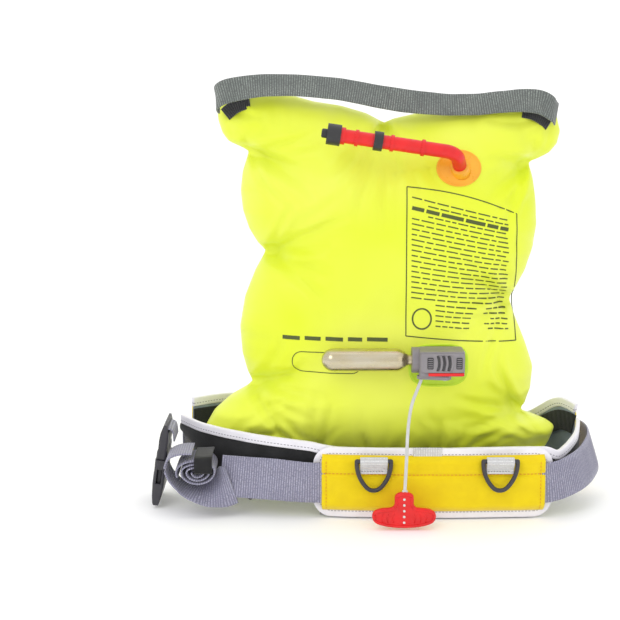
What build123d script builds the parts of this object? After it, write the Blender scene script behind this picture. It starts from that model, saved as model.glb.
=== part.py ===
"""Inflatable belt-pack life jacket, shown inflated and standing on its opened pouch.

Frame: +X to the right, +Y away from the front face, +Z up, millimetres. The origin is the
centre of the footprint, on the surface that the pouch stands on. The lanyard and its pull
handle hang in front of the pouch.
"""
import math
import os

from build123d import *

os.makedirs("parts", exist_ok=True)

# ---- Driving dimensions ------------------------------------------------------------------
GAP = 0.3                      # clearance between neighbouring pieces
LEAN = 0.1                     # the bladder leans back by this slope
BLADDER_FOOT_Y = -2.0          # mid-plane of the bladder at floor height
BLADDER_MID = (8.0, 205.0)     # x and z that the pillow's sections shrink towards
WEBBING_T = 1.6                # belt webbing thickness and width
WEBBING_W = 38.0
WEBBING_LOW, WEBBING_HIGH = 14.5, 52.5     # 38 mm belt webbing where it runs along the front
SLEEVE_LOW, SLEEVE_HIGH = 0.4, 66.6        # outside of the white sleeve binding
SLEEVE_LEFT, SLEEVE_RIGHT = -62.0, 157.0
BINDING_W = 9.0
CYLINDER_R = 10.4              # 16 g gas cylinder
CYLINDER_LEFT, CYLINDER_TIP = -55.0, 39.0
GAS_Y, GAS_Z = -60.0, 147.0    # axis of the cylinder and of the piercing pin
BODY_X = (33.0, 74.0)          # inflator body
BODY_Y = (-76.0, -49.0)
BODY_Z = (135.0, 157.5)
PIVOT = (56.0, -72.0)          # vertical pin that the pull lever turns on
LEVER_REACH = 21.0
TUBE_R = 6.3                   # oral tube
D_RING_X = (-7.5, 107.5)
D_RING_BAR_Y, D_RING_BAR_Z = -79.4, 57.0
WIRE_R = 2.0
D_RING_HALF = 15.5
LANYARD_R = 1.5
BUCKLE_TILT = 8.0


# ---- Outline helpers ---------------------------------------------------------------------
def shifted(points, distance):
    """The plan points moved to the left of their direction of travel."""
    moved = []
    last = len(points) - 1
    for i, (x, y) in enumerate(points):
        ahead, behind = points[min(i + 1, last)], points[max(i - 1, 0)]
        dx, dy = ahead[0] - behind[0], ahead[1] - behind[1]
        size = math.hypot(dx, dy)
        moved.append((x - dy / size * distance, y + dx / size * distance))
    return moved


def wall_sketch(points, near, far, low):
    """A curved wall's plan, between two distances to the left of its line."""
    with BuildSketch(Plane.XY.offset(low)) as sketch:
        with BuildLine():
            a = Spline(*shifted(points, near))
            b = Spline(*shifted(points, far))
            Line(a @ 0, b @ 0)
            Line(a @ 1, b @ 1)
        make_face()
    return sketch.sketch


def front_frame(y):
    """A plane whose local x and y are the world's X and Z, facing away from the viewer."""
    return Plane(origin=(0, y, 0), x_dir=(1, 0, 0), z_dir=(0, -1, 0))


def finish(builder, name):
    builder.part.label = name
    export_step(builder.part, f"parts/{name}.step")


def curved_wall(name, points, near, far, low, high):
    with BuildPart() as wall:
        add(wall_sketch(points, near, far, low))
        extrude(amount=high - low)
    finish(wall, name)


# ---- Plan lines --------------------------------------------------------------------------
# Positive distances are to the left of travel, which is behind these lines.
front_line = [(-190, 14), (-165, -17), (-120, -44), (SLEEVE_LEFT, -59), (-7, -64.2), (48, -66),
              (103, -64.2), (SLEEVE_RIGHT, -59), (180, -38), (190, -14), (193, 4)]
cover_line = [(-180, 24), (-145, 46), (-80, 63), (10, 70), (100, 63), (165, 40), (192, 10)]
tunnel_line = shifted(front_line, -7.2)[3:9]
belt_line = [(-134, -52.8), (-110, -60.5), *tunnel_line[:4], (130, -71.2), (150, -69.4)]
belt_back_line = [(166, 54.5), (100, 72), (10, 82.2), (-80, 73.5), (-150, 55), (-178, 40), (-190, 20)]
# Upper and lower edges in the front view: the black panel's top, under its binding, dips at
# the right end, where the pouch lies open, and its left end is cut away below.
panel_top = [(-200, 69), (-155, 67), (-110, 64.5), (-62, 61), (-40, 57.5), (50, 57.4), (145, 57.5),
             (160, 53), (168, 53.5), (180, 60), (198, 70)]
panel_bottom = [(198, 36), (188, 30), (172, 21), (158, 17), (147, 12), (138, 0), (-43, 0), (-52, 12),
                (-62, 15), (-120, 17),
                (-150, 25), (-168, 38), (-180, 52), (-200, 69)]
BINDING_BAND = 8.0
cover_top = [(-200, 82), (-150, 82), (-80, 78), (60, 70), (120, 60), (147, 60), (165, 71),
             (181, 82), (200, 76)]
cover_floor = [(200, 0), (-200, 0)]


# ---- Bladder -----------------------------------------------------------------------------
outline = [(-126, 388), (-148, 382), (-154, 366), (-145, 342), (-124, 331), (-131, 293), (-123, 253),
           (-108, 237), (-120, 212), (-132, 167), (-130, 138), (-121, 112), (-146, 95), (-164, 74),
           (-160, 48), (-120, 30), (-50, 24), (60, 24), (125, 29), (160, 48), (168, 70), (137, 84),
           (148, 112), (147, 135), (126, 190), (142, 228), (150, 272), (143, 321), (163, 331),
           (172, 352), (165, 376), (140, 384), (85, 375), (28, 366), (6, 358), (-20, 369), (-72, 380)]
# Offset from the mid-plane, then the shrink in width, above the middle, below it, and of the
# bottom lobe's width.
bladder_sections = [(-56, 0.58, 0.42, 0.58, 0.46), (-48, 0.80, 0.66, 0.78, 0.66),
                    (-30, 0.95, 0.88, 0.92, 0.86), (0, 1, 1, 1, 1),
                    (30, 0.95, 0.88, 0.92, 0.86), (48, 0.80, 0.66, 0.78, 0.66),
                    (56, 0.58, 0.42, 0.58, 0.46)]
LOBE_TOP = 110.0


def bladder_section(offset, width, above, below, lobe):
    plane = Plane(origin=(0, BLADDER_FOOT_Y + offset, 0), x_dir=(1, 0, 0), z_dir=(0, -1, LEAN))
    points = []
    for x, z in outline:
        tall = above if z > BLADDER_MID[1] else below
        drop = min(1.0, max(0.0, (LOBE_TOP - z) / 40.0))
        wide = width + (lobe - width) * drop
        points.append((BLADDER_MID[0] + (x - BLADDER_MID[0]) * wide,
                       BLADDER_MID[1] + (z - BLADDER_MID[1]) * tall))
    with BuildSketch(plane) as sketch:
        with BuildLine():
            Spline(*points, periodic=True)
        make_face()
    return sketch.sketch


TAB_X = (-142.0, 150.0)        # the neck strap's sewn ends, on the bladder's ears
TAB_SIZE = (20.0, 16.0)
TAB_Z = (374.0, 366.0)
ORAL_FOOT = Vector(72, -23, 318)
ORAL_KNEE = Vector(66, -46, 333.5)
ORAL_END = Vector(-46, -46, 350)
ORAL_OUT = (ORAL_KNEE - ORAL_FOOT).normalized()
FLANGE_R = 20.0

with BuildPart() as bladder:
    for numbers in bladder_sections:
        add(bladder_section(*numbers))
    loft()
    with BuildSketch(Plane(origin=ORAL_FOOT, z_dir=ORAL_OUT)):
        Circle(FLANGE_R + 6)
    extrude(amount=40, mode=Mode.SUBTRACT)
    with BuildSketch(front_frame(BODY_Y[1] + 4.5)):
        with Locations((51.5, 142.5)):
            Rectangle(64, 50)
    extrude(amount=40, mode=Mode.SUBTRACT)
    for x, z in zip(TAB_X, TAB_Z):
        with BuildSketch(front_frame(24.5)):
            with Locations((x, z)):
                Rectangle(TAB_SIZE[0] + 2, TAB_SIZE[1] + 30)
        extrude(amount=40, mode=Mode.SUBTRACT)
finish(bladder, "bladder")


# ---- Neck strap --------------------------------------------------------------------------
STRAP_Y = 11.0
STRAP_T = 2.0
strap_top = [(-152, 388), (-128, 400), (-75, 402), (-20, 397), (40, 387), (100, 384), (145, 391),
             (170, 376)]
strap_bottom = [(166, 360), (140, 369), (100, 367), (40, 366.5), (6, 370.5), (-33, 379), (-75, 383),
                (-128, 381), (-152, 372)]

with BuildPart() as neck_strap:
    with BuildSketch(front_frame(STRAP_Y)):
        with BuildLine():
            top = Spline(*strap_top)
            bottom = Spline(*strap_bottom)
            Line(top @ 1, bottom @ 0)
            Line(bottom @ 1, top @ 0)
        make_face()
    extrude(amount=STRAP_T)
finish(neck_strap, "neck_strap")

for side, x, z in zip(("left", "right"), TAB_X, TAB_Z):
    with BuildPart() as tab:
        with BuildSketch(front_frame(24.2)):
            with Locations((x, z)):
                RectangleRounded(*TAB_SIZE, 2)
        extrude(amount=24.2 - STRAP_Y)
    finish(tab, f"neck_strap_end_{side}")


# ---- Oral inflation tube -----------------------------------------------------------------
TUBE_DIR = (ORAL_END - ORAL_KNEE).normalized()


def on_tube(distance):
    """A plane across the tube, this far back from its open end, facing out of it."""
    return Plane(origin=ORAL_END - TUBE_DIR * distance, z_dir=TUBE_DIR)


with BuildPart() as oral_flange:
    with BuildSketch(Plane(origin=ORAL_FOOT + ORAL_OUT * GAP, z_dir=ORAL_OUT)):
        Circle(FLANGE_R)
    extrude(amount=1.8)
    with BuildSketch(Plane(origin=ORAL_FOOT + ORAL_OUT * GAP, z_dir=ORAL_OUT)):
        Circle(TUBE_R + 3)
    extrude(amount=5, taper=20)
finish(oral_flange, "oral_flange")

with BuildPart() as oral_tube:
    with BuildLine():
        FilletPolyline(ORAL_FOOT + ORAL_OUT * 5.3, ORAL_KNEE, ORAL_END, radius=14)
    with BuildSketch(Plane(origin=ORAL_FOOT + ORAL_OUT * 5.3, z_dir=ORAL_OUT)):
        Circle(TUBE_R)
    sweep()
    for distance in (24.0, 56.0, 84.0):
        with BuildSketch(on_tube(distance)):
            Circle(TUBE_R + 1.2)
        extrude(amount=3.0)
    with BuildSketch(on_tube(12)):
        Circle(TUBE_R + 1.4)
    extrude(amount=12)
    with BuildSketch(on_tube(0)):
        Circle(4.6)
    extrude(amount=-30, mode=Mode.SUBTRACT)
finish(oral_tube, "oral_tube")

with BuildPart() as tube_retainer_ring:
    with BuildSketch(on_tube(46)):
        Circle(TUBE_R + 2.4)
        Circle(TUBE_R + 0.05, mode=Mode.SUBTRACT)
    extrude(amount=8)
finish(tube_retainer_ring, "tube_retainer_ring")

with BuildPart() as valve_seat:
    with BuildSketch(on_tube(20)):
        Circle(4.55)
        Circle(2.0, mode=Mode.SUBTRACT)
    extrude(amount=5)
finish(valve_seat, "valve_seat")

with BuildPart() as valve_poppet:
    with BuildSketch(on_tube(23.5)):
        Circle(3.4)
    extrude(amount=3)
    with BuildSketch(on_tube(20.5)):
        Circle(1.7)
    extrude(amount=17)
    with BuildSketch(on_tube(5)):
        Circle(3.0)
    extrude(amount=2)
finish(valve_poppet, "valve_poppet")

with BuildPart() as dust_cap:
    with BuildSketch(on_tube(-0.3)):
        Circle(TUBE_R + 3.2)
    extrude(amount=4)
    with BuildSketch(on_tube(8)):
        Circle(TUBE_R + 3.2)
        Circle(TUBE_R + 1.6, mode=Mode.SUBTRACT)
    extrude(amount=8.3)
    with BuildSketch(on_tube(-4.3)):
        Circle(4.2)
    extrude(amount=5)
    chamfer(dust_cap.faces().sort_by(Axis.X)[0].edges(), 1)
finish(dust_cap, "dust_cap")


# ---- Inflator: weld patch, stem, body, pin, lever and gas cylinder -----------------------
BODY_MID_X = (BODY_X[0] + BODY_X[1]) / 2
BODY_MID_Z = (BODY_Z[0] + BODY_Z[1]) / 2
STEM_X = 42.0
STEM_R = 5.5
THREAD_R = 4.75
BORE_END_X = 40.6
PATCH_Y = BODY_Y[1] + 4.0


def across(x, y=GAS_Y, z=GAS_Z):
    """A plane that faces +X, for turned shapes along the gas axis."""
    return Plane(origin=(x, y, z), z_dir=(1, 0, 0))


with BuildPart() as inflator_patch:
    with BuildSketch(front_frame(PATCH_Y)):
        with Locations((51.5, 142.5)):
            RectangleRounded(58, 42, 8)
    extrude(amount=1.5)
finish(inflator_patch, "inflator_patch")

with BuildPart() as manifold_stem:
    with BuildSketch(front_frame(PATCH_Y - 1.5)):
        with Locations((STEM_X, GAS_Z)):
            Circle(8.5)
    extrude(amount=1.0)
    with BuildSketch(front_frame(PATCH_Y - 2.5)):
        with Locations((STEM_X, GAS_Z)):
            Circle(STEM_R)
    extrude(amount=5.7)
    with BuildSketch(front_frame(PATCH_Y - 1.5)):
        with Locations((STEM_X, GAS_Z)):
            Circle(2)
    extrude(amount=8, mode=Mode.SUBTRACT)
finish(manifold_stem, "manifold_stem")

with BuildPart() as manifold_gasket:
    with BuildSketch(front_frame(PATCH_Y - 2.5)):
        with Locations((STEM_X, GAS_Z)):
            Circle(8)
            Circle(STEM_R + 0.1, mode=Mode.SUBTRACT)
    extrude(amount=1.5)
finish(manifold_gasket, "manifold_gasket")

with BuildPart() as inflator_body:
    with BuildSketch(Plane.XY.offset(BODY_Z[0])):
        with Locations((BODY_MID_X, (BODY_Y[0] + BODY_Y[1]) / 2)):
            RectangleRounded(BODY_X[1] - BODY_X[0], BODY_Y[1] - BODY_Y[0], 4)
    extrude(amount=BODY_Z[1] - BODY_Z[0])
    fillet(inflator_body.faces().sort_by(Axis.Z)[-1].edges(), 1.5)
    with BuildSketch(across(27)):
        Circle(11.8)
    extrude(amount=6.8)
    with BuildSketch(across(27)):
        Circle(THREAD_R + 0.05)
    extrude(amount=BORE_END_X - 27, mode=Mode.SUBTRACT)
    with BuildSketch(across(BORE_END_X)):
        Circle(1.45)
    extrude(amount=4, mode=Mode.SUBTRACT)
    with BuildSketch(across(44)):
        Circle(3.4)
    extrude(amount=4, mode=Mode.SUBTRACT)
    with BuildSketch(front_frame(BODY_Y[1])):
        with Locations((STEM_X, GAS_Z)):
            Circle(STEM_R + 0.05)
    extrude(amount=4.4, mode=Mode.SUBTRACT)
    with BuildSketch(Plane.XY.offset(BODY_Z[0])):
        with Locations((54.5, -61.2)):
            Rectangle(17, 14)
    extrude(amount=18, mode=Mode.SUBTRACT)
    with BuildSketch(Plane.XY.offset(BODY_Z[0])):
        with Locations(PIVOT):
            Circle(1.5)
    extrude(amount=14, mode=Mode.SUBTRACT)
finish(inflator_body, "inflator_body")

COVER_Y = BODY_Y[0] - 0.05
with BuildPart() as inflator_cover:
    with BuildSketch(front_frame(COVER_Y)):
        with Locations((BODY_MID_X, 147.6)):
            RectangleRounded(40, 18, 3)
    extrude(amount=2.2)
    for row in range(3):
        rib_z = 141.6 + 6.0 * row
        with BuildSketch(front_frame(COVER_Y - 2.2)):
            with BuildLine():
                upper = ThreePointArc((46, rib_z + 1.4), (54, rib_z + 3.0), (62, rib_z + 1.4))
                lower = ThreePointArc((46, rib_z - 1.4), (54, rib_z + 0.2), (62, rib_z - 1.4))
                Line(upper @ 0, lower @ 0)
                Line(upper @ 1, lower @ 1)
            make_face()
        extrude(amount=1.2)
    for pad_x in (40.5, 67.0):
        with BuildSketch(front_frame(COVER_Y - 2.2)):
            with Locations((pad_x, 148)):
                Rectangle(5, 10)
        extrude(amount=0.6)
finish(inflator_cover, "inflator_cover")

with BuildPart() as status_strip:
    with BuildSketch(front_frame(COVER_Y)):
        with Locations((57, 137)):
            Rectangle(32, 2.6)
    extrude(amount=1.6)
finish(status_strip, "status_strip")

with BuildPart() as lever_pin:
    with BuildSketch(Plane.XY.offset(BODY_Z[0] - 4.4)):
        with Locations(PIVOT):
            Circle(1.5)
    extrude(amount=18.4)
finish(lever_pin, "lever_pin")

LEVER_TIP = (PIVOT[0] - LEVER_REACH * math.cos(math.radians(10)),
             PIVOT[1] + LEVER_REACH * math.sin(math.radians(10)))
CAM_POST = (PIVOT[0], GAS_Y)
LEVER_Z = (BODY_Z[0] - 3.4, BODY_Z[0] - 0.5)
with BuildPart() as pull_lever:
    with BuildSketch(Plane.XY.offset(LEVER_Z[0])):
        with BuildLine():
            Polyline((LEVER_TIP[0], LEVER_TIP[1] - 4), (PIVOT[0] + 2, PIVOT[1] - 5),
                     (PIVOT[0] + 6, PIVOT[1]), (CAM_POST[0] + 3, CAM_POST[1] + 2),
                     (CAM_POST[0] - 3, CAM_POST[1] + 2), (PIVOT[0] - 5, PIVOT[1] + 5),
                     (LEVER_TIP[0], LEVER_TIP[1] + 4), close=True)
        make_face()
        with Locations(LEVER_TIP):
            Circle(4)
        with Locations(PIVOT):
            Circle(1.56, mode=Mode.SUBTRACT)
    extrude(amount=LEVER_Z[1] - LEVER_Z[0])
    with BuildSketch(Plane.XY.offset(LEVER_Z[1])):
        with Locations(CAM_POST):
            Circle(2)
    extrude(amount=16)
finish(pull_lever, "pull_lever")

PIN_TIP_X, PIN_BACK_X = 41.8, 53.4
with BuildPart() as piercing_pin:
    with BuildSketch(across(PIN_TIP_X)):
        Circle(1.4)
    extrude(amount=PIN_BACK_X - PIN_TIP_X)
    with BuildSketch(across(PIN_BACK_X - 2)):
        Circle(3.0)
    extrude(amount=2)
    chamfer(piercing_pin.faces().sort_by(Axis.X)[0].edges(), 0.9)
finish(piercing_pin, "piercing_pin")

with BuildPart() as cylinder_gasket:
    with BuildSketch(across(CYLINDER_TIP + 0.2)):
        Circle(4.6)
        Circle(2.2, mode=Mode.SUBTRACT)
    extrude(amount=1.2)
finish(cylinder_gasket, "cylinder_gasket")

with BuildPart() as gas_cylinder:
    with BuildSketch(Plane.XZ.offset(-GAS_Y)):
        with BuildLine():
            Line((CYLINDER_LEFT, GAS_Z), (CYLINDER_TIP - 4, GAS_Z))
            Line((CYLINDER_TIP - 4, GAS_Z), (CYLINDER_TIP - 4, GAS_Z + 2))
            Line((CYLINDER_TIP - 4, GAS_Z + 2), (CYLINDER_TIP, GAS_Z + 2))
            Line((CYLINDER_TIP, GAS_Z + 2), (CYLINDER_TIP, GAS_Z + THREAD_R))
            Line((CYLINDER_TIP, GAS_Z + THREAD_R), (25, GAS_Z + THREAD_R))
            Spline((25, GAS_Z + THREAD_R), (20, GAS_Z + 7.4), (12, GAS_Z + CYLINDER_R),
                   tangents=((-1, 0), (-1, 0)))
            Line((12, GAS_Z + CYLINDER_R), (CYLINDER_LEFT + CYLINDER_R, GAS_Z + CYLINDER_R))
            ThreePointArc((CYLINDER_LEFT + CYLINDER_R, GAS_Z + CYLINDER_R),
                          (CYLINDER_LEFT + CYLINDER_R * (1 - math.sqrt(0.5)),
                           GAS_Z + CYLINDER_R * math.sqrt(0.5)),
                          (CYLINDER_LEFT, GAS_Z))
        make_face()
    revolve(axis=Axis((0, GAS_Y, GAS_Z), (1, 0, 0)))
finish(gas_cylinder, "gas_cylinder")


# ---- Lanyard and pull handle -------------------------------------------------------------
LANYARD_TOP_Z = LEVER_Z[0] - 0.9
HANDLE_Y = -98.0
HANDLE_TOP_Z = 34.3
lanyard_route = [(LEVER_TIP[0], LEVER_TIP[1], LANYARD_TOP_Z), (32.0, -69.5, 122.0), (26.5, -73.5, 109.5),
                 (23.5, -79.0, 94.0), (22.0, -85.5, 77.5), (21.2, -91.0, 60.5), (20.2, -95.5, 45.5),
                 (19.5, HANDLE_Y, HANDLE_TOP_Z + 0.6)]


def corner_radii(route):
    """The largest tangent arcs that the runs beside each corner leave room for."""
    vectors = [Vector(*p) for p in route]
    radii = []
    for before, corner, after in zip(vectors, vectors[1:], vectors[2:]):
        turn = (corner - before).get_angle(after - corner)
        shorter = min((corner - before).length, (after - corner).length)
        radii.append(0.45 * shorter / math.tan(math.radians(turn / 2)))
    return radii


radii = corner_radii(lanyard_route)
print("lanyard radii", [round(r, 1) for r in radii])
with BuildPart() as lanyard:
    with BuildLine() as path:
        FilletPolyline(*lanyard_route, radius=radii)
    with BuildSketch(Plane(origin=path.line @ 0, z_dir=path.line % 0)):
        Circle(LANYARD_R)
    sweep()
print("lanyard length", round(path.wires()[0].length, 1), "volume over section",
      round(lanyard.part.volume / (math.pi * LANYARD_R ** 2), 1))
finish(lanyard, "lanyard")

HANDLE_T = 5.0
HANDLE_X = 19.0
HANDLE_LOW = 0.8
STEM_HALF = 8.6


def handle_outline():
    """A broad T seen from the front: wings with a bowed lower edge, and a round-topped stem."""
    wing = [(STEM_HALF, 19.6), (13, 18.4), (22, 17.4), (27.4, 14.6), (28.6, 9.6), (25, 4.2), (14, 1.0),
            (0, 0)]
    with BuildLine() as outline:
        left = [(HANDLE_X - x, HANDLE_LOW + z) for x, z in wing]
        right = [(HANDLE_X + x, HANDLE_LOW + z) for x, z in wing[:-1]]
        lower = Spline(*left, *reversed(right))
        stem_top = HANDLE_TOP_Z - 4
        side_left = Line(lower @ 0, (HANDLE_X - STEM_HALF, stem_top))
        side_right = Line(lower @ 1, (HANDLE_X + STEM_HALF, stem_top))
        ThreePointArc(side_left @ 1, (HANDLE_X, HANDLE_TOP_Z), side_right @ 1)
    wire = outline.wires()[0]
    Polygon(*[tuple(wire @ (step / 90))[:2] for step in range(90)], align=None)


with BuildPart() as pull_handle:
    with BuildSketch(front_frame(HANDLE_Y + HANDLE_T / 2)):
        handle_outline()
    extrude(amount=HANDLE_T)
    with BuildSketch(front_frame(HANDLE_Y - HANDLE_T / 2)):
        handle_outline()
        offset(amount=-2, mode=Mode.SUBTRACT)
    extrude(amount=1)
    for dot in range(5):
        with BuildSketch(front_frame(HANDLE_Y - HANDLE_T / 2)):
            with Locations((HANDLE_X, HANDLE_LOW + 5.5 + 5.4 * dot)):
                Circle(1.1)
        extrude(amount=1)
finish(pull_handle, "pull_handle")


# ---- Pouch: panel, sleeve, belt tunnel and cover ------------------------------------------
REACH = 200.0                  # longer than the pouch is deep or high


def raised(points, height):
    return [(x, z + height) for x, z in points]


def trimmed_wall(name, points, near, far, upper, lower=None, low_line=None):
    """A curved wall cut in the front view between a smooth upper edge and a lower one."""
    with BuildPart() as wall:
        add(wall_sketch(points, near, far, 0))
        extrude(amount=REACH)
        with BuildSketch(front_frame(REACH / 2)):
            with BuildLine():
                top = Spline(*upper)
                if lower:
                    bottom = Spline(*lower)
                    Line(top @ 0, bottom @ 0)
                    Line(top @ 1, bottom @ 1)
                else:
                    Polyline(top @ 1, *low_line, top @ 0)
            make_face()
        extrude(amount=REACH, mode=Mode.INTERSECT)
    finish(wall, name)


trimmed_wall("back_panel", front_line, 2.0, -2.0, panel_top, low_line=panel_bottom[:-1])
trimmed_wall("back_panel_binding", front_line, 2.4, -2.4, raised(panel_top, BINDING_BAND),
             lower=raised(panel_top, 0.1))


def sleeve_layer(name, near, far, inset, corner, window=None):
    """One layer of the belt sleeve: a curved wall cut to a rounded rectangle."""
    width = SLEEVE_RIGHT - SLEEVE_LEFT - 2 * inset
    height = SLEEVE_HIGH - SLEEVE_LOW - 2 * inset
    middle = ((SLEEVE_LEFT + SLEEVE_RIGHT) / 2, (SLEEVE_LOW + SLEEVE_HIGH) / 2)
    with BuildPart() as layer:
        add(wall_sketch(front_line, near, far, SLEEVE_LOW))
        extrude(amount=SLEEVE_HIGH - SLEEVE_LOW)
        with BuildSketch(front_frame(0)):
            with Locations(middle):
                RectangleRounded(width, height, corner)
                if window:
                    RectangleRounded(width - 2 * window, height - 2 * window, corner - window,
                                     mode=Mode.SUBTRACT)
        extrude(amount=120, mode=Mode.INTERSECT)
    finish(layer, name)


sleeve_layer("sleeve_backing", -2.6, -4.2, BINDING_W + 0.2, 8)
sleeve_layer("sleeve_binding", -2.6, -5.0, 0, 17, window=BINDING_W)

FACE_LOW, FACE_HIGH, FACE_RIM = 7.0, 60.0, 4.0
with BuildPart() as sleeve_face:
    add(wall_sketch(front_line, -9.3, -10.5, FACE_LOW))
    extrude(amount=FACE_HIGH - FACE_LOW)
    for rim_low in (FACE_LOW, FACE_HIGH - FACE_RIM):
        add(wall_sketch(front_line, -5.2, -9.4, rim_low))
        extrude(amount=FACE_RIM)
    with BuildSketch(front_frame(0)):
        with Locations(((SLEEVE_LEFT + SLEEVE_RIGHT) / 2, (FACE_LOW + FACE_HIGH) / 2)):
            Rectangle(SLEEVE_RIGHT - SLEEVE_LEFT - 22, 80)
    extrude(amount=120, mode=Mode.INTERSECT)
finish(sleeve_face, "sleeve_face")

TAB_LOOP_R = 3.6
TAB_W = 25.4                   # one-inch webbing
D_RING_ARM = 2.0               # straight stretch of each arm below the bar
D_RING_DEEP = 25.5             # depth of the bow below the arms
D_RING_TIP_R = 9.0
# The side arcs leave the arms straight down and meet the tip arc tangentially.
tip_z = D_RING_DEEP - D_RING_TIP_R
side_r = (D_RING_HALF ** 2 + tip_z ** 2 - D_RING_TIP_R ** 2) / (2 * (D_RING_HALF - D_RING_TIP_R))
side_turn = math.degrees(math.atan2(tip_z, side_r - D_RING_HALF))
for side, ring_x in zip(("left", "right"), D_RING_X):
    with BuildPart() as ring_tab:
        with BuildSketch(Plane(origin=(ring_x - TAB_W / 2, D_RING_BAR_Y, D_RING_BAR_Z), z_dir=(1, 0, 0),
                               x_dir=(0, 1, 0))):
            Circle(TAB_LOOP_R)
            with Locations((TAB_LOOP_R - 0.7, -6)):
                Rectangle(1.4, 13)
            Circle(WIRE_R + 0.08, mode=Mode.SUBTRACT)
        extrude(amount=TAB_W)
    finish(ring_tab, f"d_ring_tab_{side}")

    with BuildPart() as ring:
        with BuildSketch(Plane(origin=(ring_x - D_RING_HALF, D_RING_BAR_Y, D_RING_BAR_Z), z_dir=(1, 0, 0))):
            Circle(WIRE_R)
        extrude(amount=2 * D_RING_HALF)
        arm_low = D_RING_BAR_Z - D_RING_ARM
        with BuildLine(Plane(origin=(ring_x, D_RING_BAR_Y, arm_low), x_dir=(1, 0, 0),
                             z_dir=(0, -1, 0))) as bow:
            Line((-D_RING_HALF, D_RING_ARM), (-D_RING_HALF, 0))
            side_arc = JernArc((-D_RING_HALF, 0), (0, -1), side_r, side_turn)
            tip_arc = JernArc(side_arc @ 1, side_arc % 1, D_RING_TIP_R, 180 - 2 * side_turn)
            JernArc(tip_arc @ 1, tip_arc % 1, side_r, side_turn)
            Line((D_RING_HALF, 0), (D_RING_HALF, D_RING_ARM))
        with BuildSketch(Plane(origin=(ring_x - D_RING_HALF, D_RING_BAR_Y, D_RING_BAR_Z),
                               z_dir=(0, 0, -1))):
            Circle(WIRE_R)
        sweep(path=bow.line)
        for end in (-D_RING_HALF, D_RING_HALF):
            with Locations((ring_x + end, D_RING_BAR_Y, D_RING_BAR_Z)):
                Sphere(WIRE_R)
    finish(ring, f"d_ring_{side}")

curved_wall("belt_front", belt_line, WEBBING_T / 2, -WEBBING_T / 2, WEBBING_LOW, WEBBING_HIGH)


def strap(name, stations):
    """Webbing lofted through cross-sections: a centre and the direction across the strap."""
    centres = [Vector(*centre) for centre, _ in stations]
    with BuildPart() as band:
        for i, (_, across_strap) in enumerate(stations):
            ahead = centres[min(i + 1, len(centres) - 1)] - centres[max(i - 1, 0)]
            across_unit = Vector(*across_strap).normalized()
            along_strap = ahead - across_unit * ahead.dot(across_unit)
            with BuildSketch(Plane(origin=centres[i], x_dir=across_unit, z_dir=along_strap)):
                Rectangle(WEBBING_W, WEBBING_T)
        loft()
    finish(band, name)


strap("belt_side", [((150.6, -69.4, 33.5), (0, 0, 1)), ((160, -67.4, 34.5), (0, 0, 1)),
                    ((170, -62.4, 36.5), (-0.03, 0.05, 1)), ((184, -51.5, 40), (-0.08, 0.15, 0.98)),
                    ((196, -35, 43.5), (-0.15, 0.2, 0.96)),
                    ((205, -14, 47.5), (-0.26, 0.12, 0.95)), ((208, 8, 50), (-0.32, -0.05, 0.94)),
                    ((202.5, 28, 50.5), (-0.24, -0.14, 0.95)), ((189, 43, 48), (-0.1, -0.1, 0.99)),
                    ((168, 53.6, 45), (0, 0, 1))])
curved_wall("belt_back", belt_back_line, WEBBING_T / 2, -WEBBING_T / 2, 26.0, 64.0)
trimmed_wall("cover_lining", cover_line, -0.6, 0.6, cover_top, low_line=cover_floor)
trimmed_wall("cover_panel", cover_line, 0.9, 2.5, cover_top, low_line=cover_floor)
trimmed_wall("cover_binding", cover_line, -1.4, 3.2, raised(cover_top, BINDING_BAND + 0.8),
             lower=raised(cover_top, 0.2))
HOOK_W, HOOK_TOP = 20.0, 2.0   # hook tape width, and its distance below the binding
for side, ends in (("left", cover_line[:2]), ("right", cover_line[-2:])):
    trimmed_wall(f"hook_strip_{side}", ends, -0.9, -2.5, raised(cover_top, -HOOK_TOP),
                 lower=raised(cover_top, -HOOK_TOP - HOOK_W))

with BuildPart() as cover_patch:
    add(wall_sketch([(-80, 63), (10, 70), (100, 63)], 3.4, 4.4, 42))
    extrude(amount=14)
finish(cover_patch, "cover_patch")


# ---- Left end: rolled webbing, keeper and side-release buckle -----------------------------
ROLL_Y = (-69.0, -31.0)
ROLL_MID = (-170.0, 42.0)
ROLL_RADII = (20.0, 13.5)
KEEPER_X = (-172.0, -155.0)    # elastic keeper, round the roll's upper half
KEEPER_Z = (41.0, 57.3)


def depth_frame():
    """A plane whose local x and y are the world's X and Z, at the roll's front end."""
    return front_frame(ROLL_Y[1])


with BuildPart() as webbing_roll:
    with BuildSketch(depth_frame()):
        with Locations(ROLL_MID):
            Ellipse(*ROLL_RADII)
        with Locations(((KEEPER_X[0] + KEEPER_X[1]) / 2, KEEPER_Z[0] + 0.6)):
            Rectangle(KEEPER_X[1] - KEEPER_X[0] + 3, 2.2, mode=Mode.SUBTRACT)
    extrude(amount=ROLL_Y[1] - ROLL_Y[0])
finish(webbing_roll, "webbing_roll")

with BuildPart() as webbing_keeper:
    keeper_high = KEEPER_Z[1] - KEEPER_Z[0]
    with BuildSketch(across(KEEPER_X[0], (ROLL_Y[0] + ROLL_Y[1]) / 2, (KEEPER_Z[0] + KEEPER_Z[1]) / 2)):
        Rectangle(keeper_high, 42)
        Rectangle(keeper_high - 2.4, 39.2, mode=Mode.SUBTRACT)
    extrude(amount=KEEPER_X[1] - KEEPER_X[0])
finish(webbing_keeper, "webbing_keeper")

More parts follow.
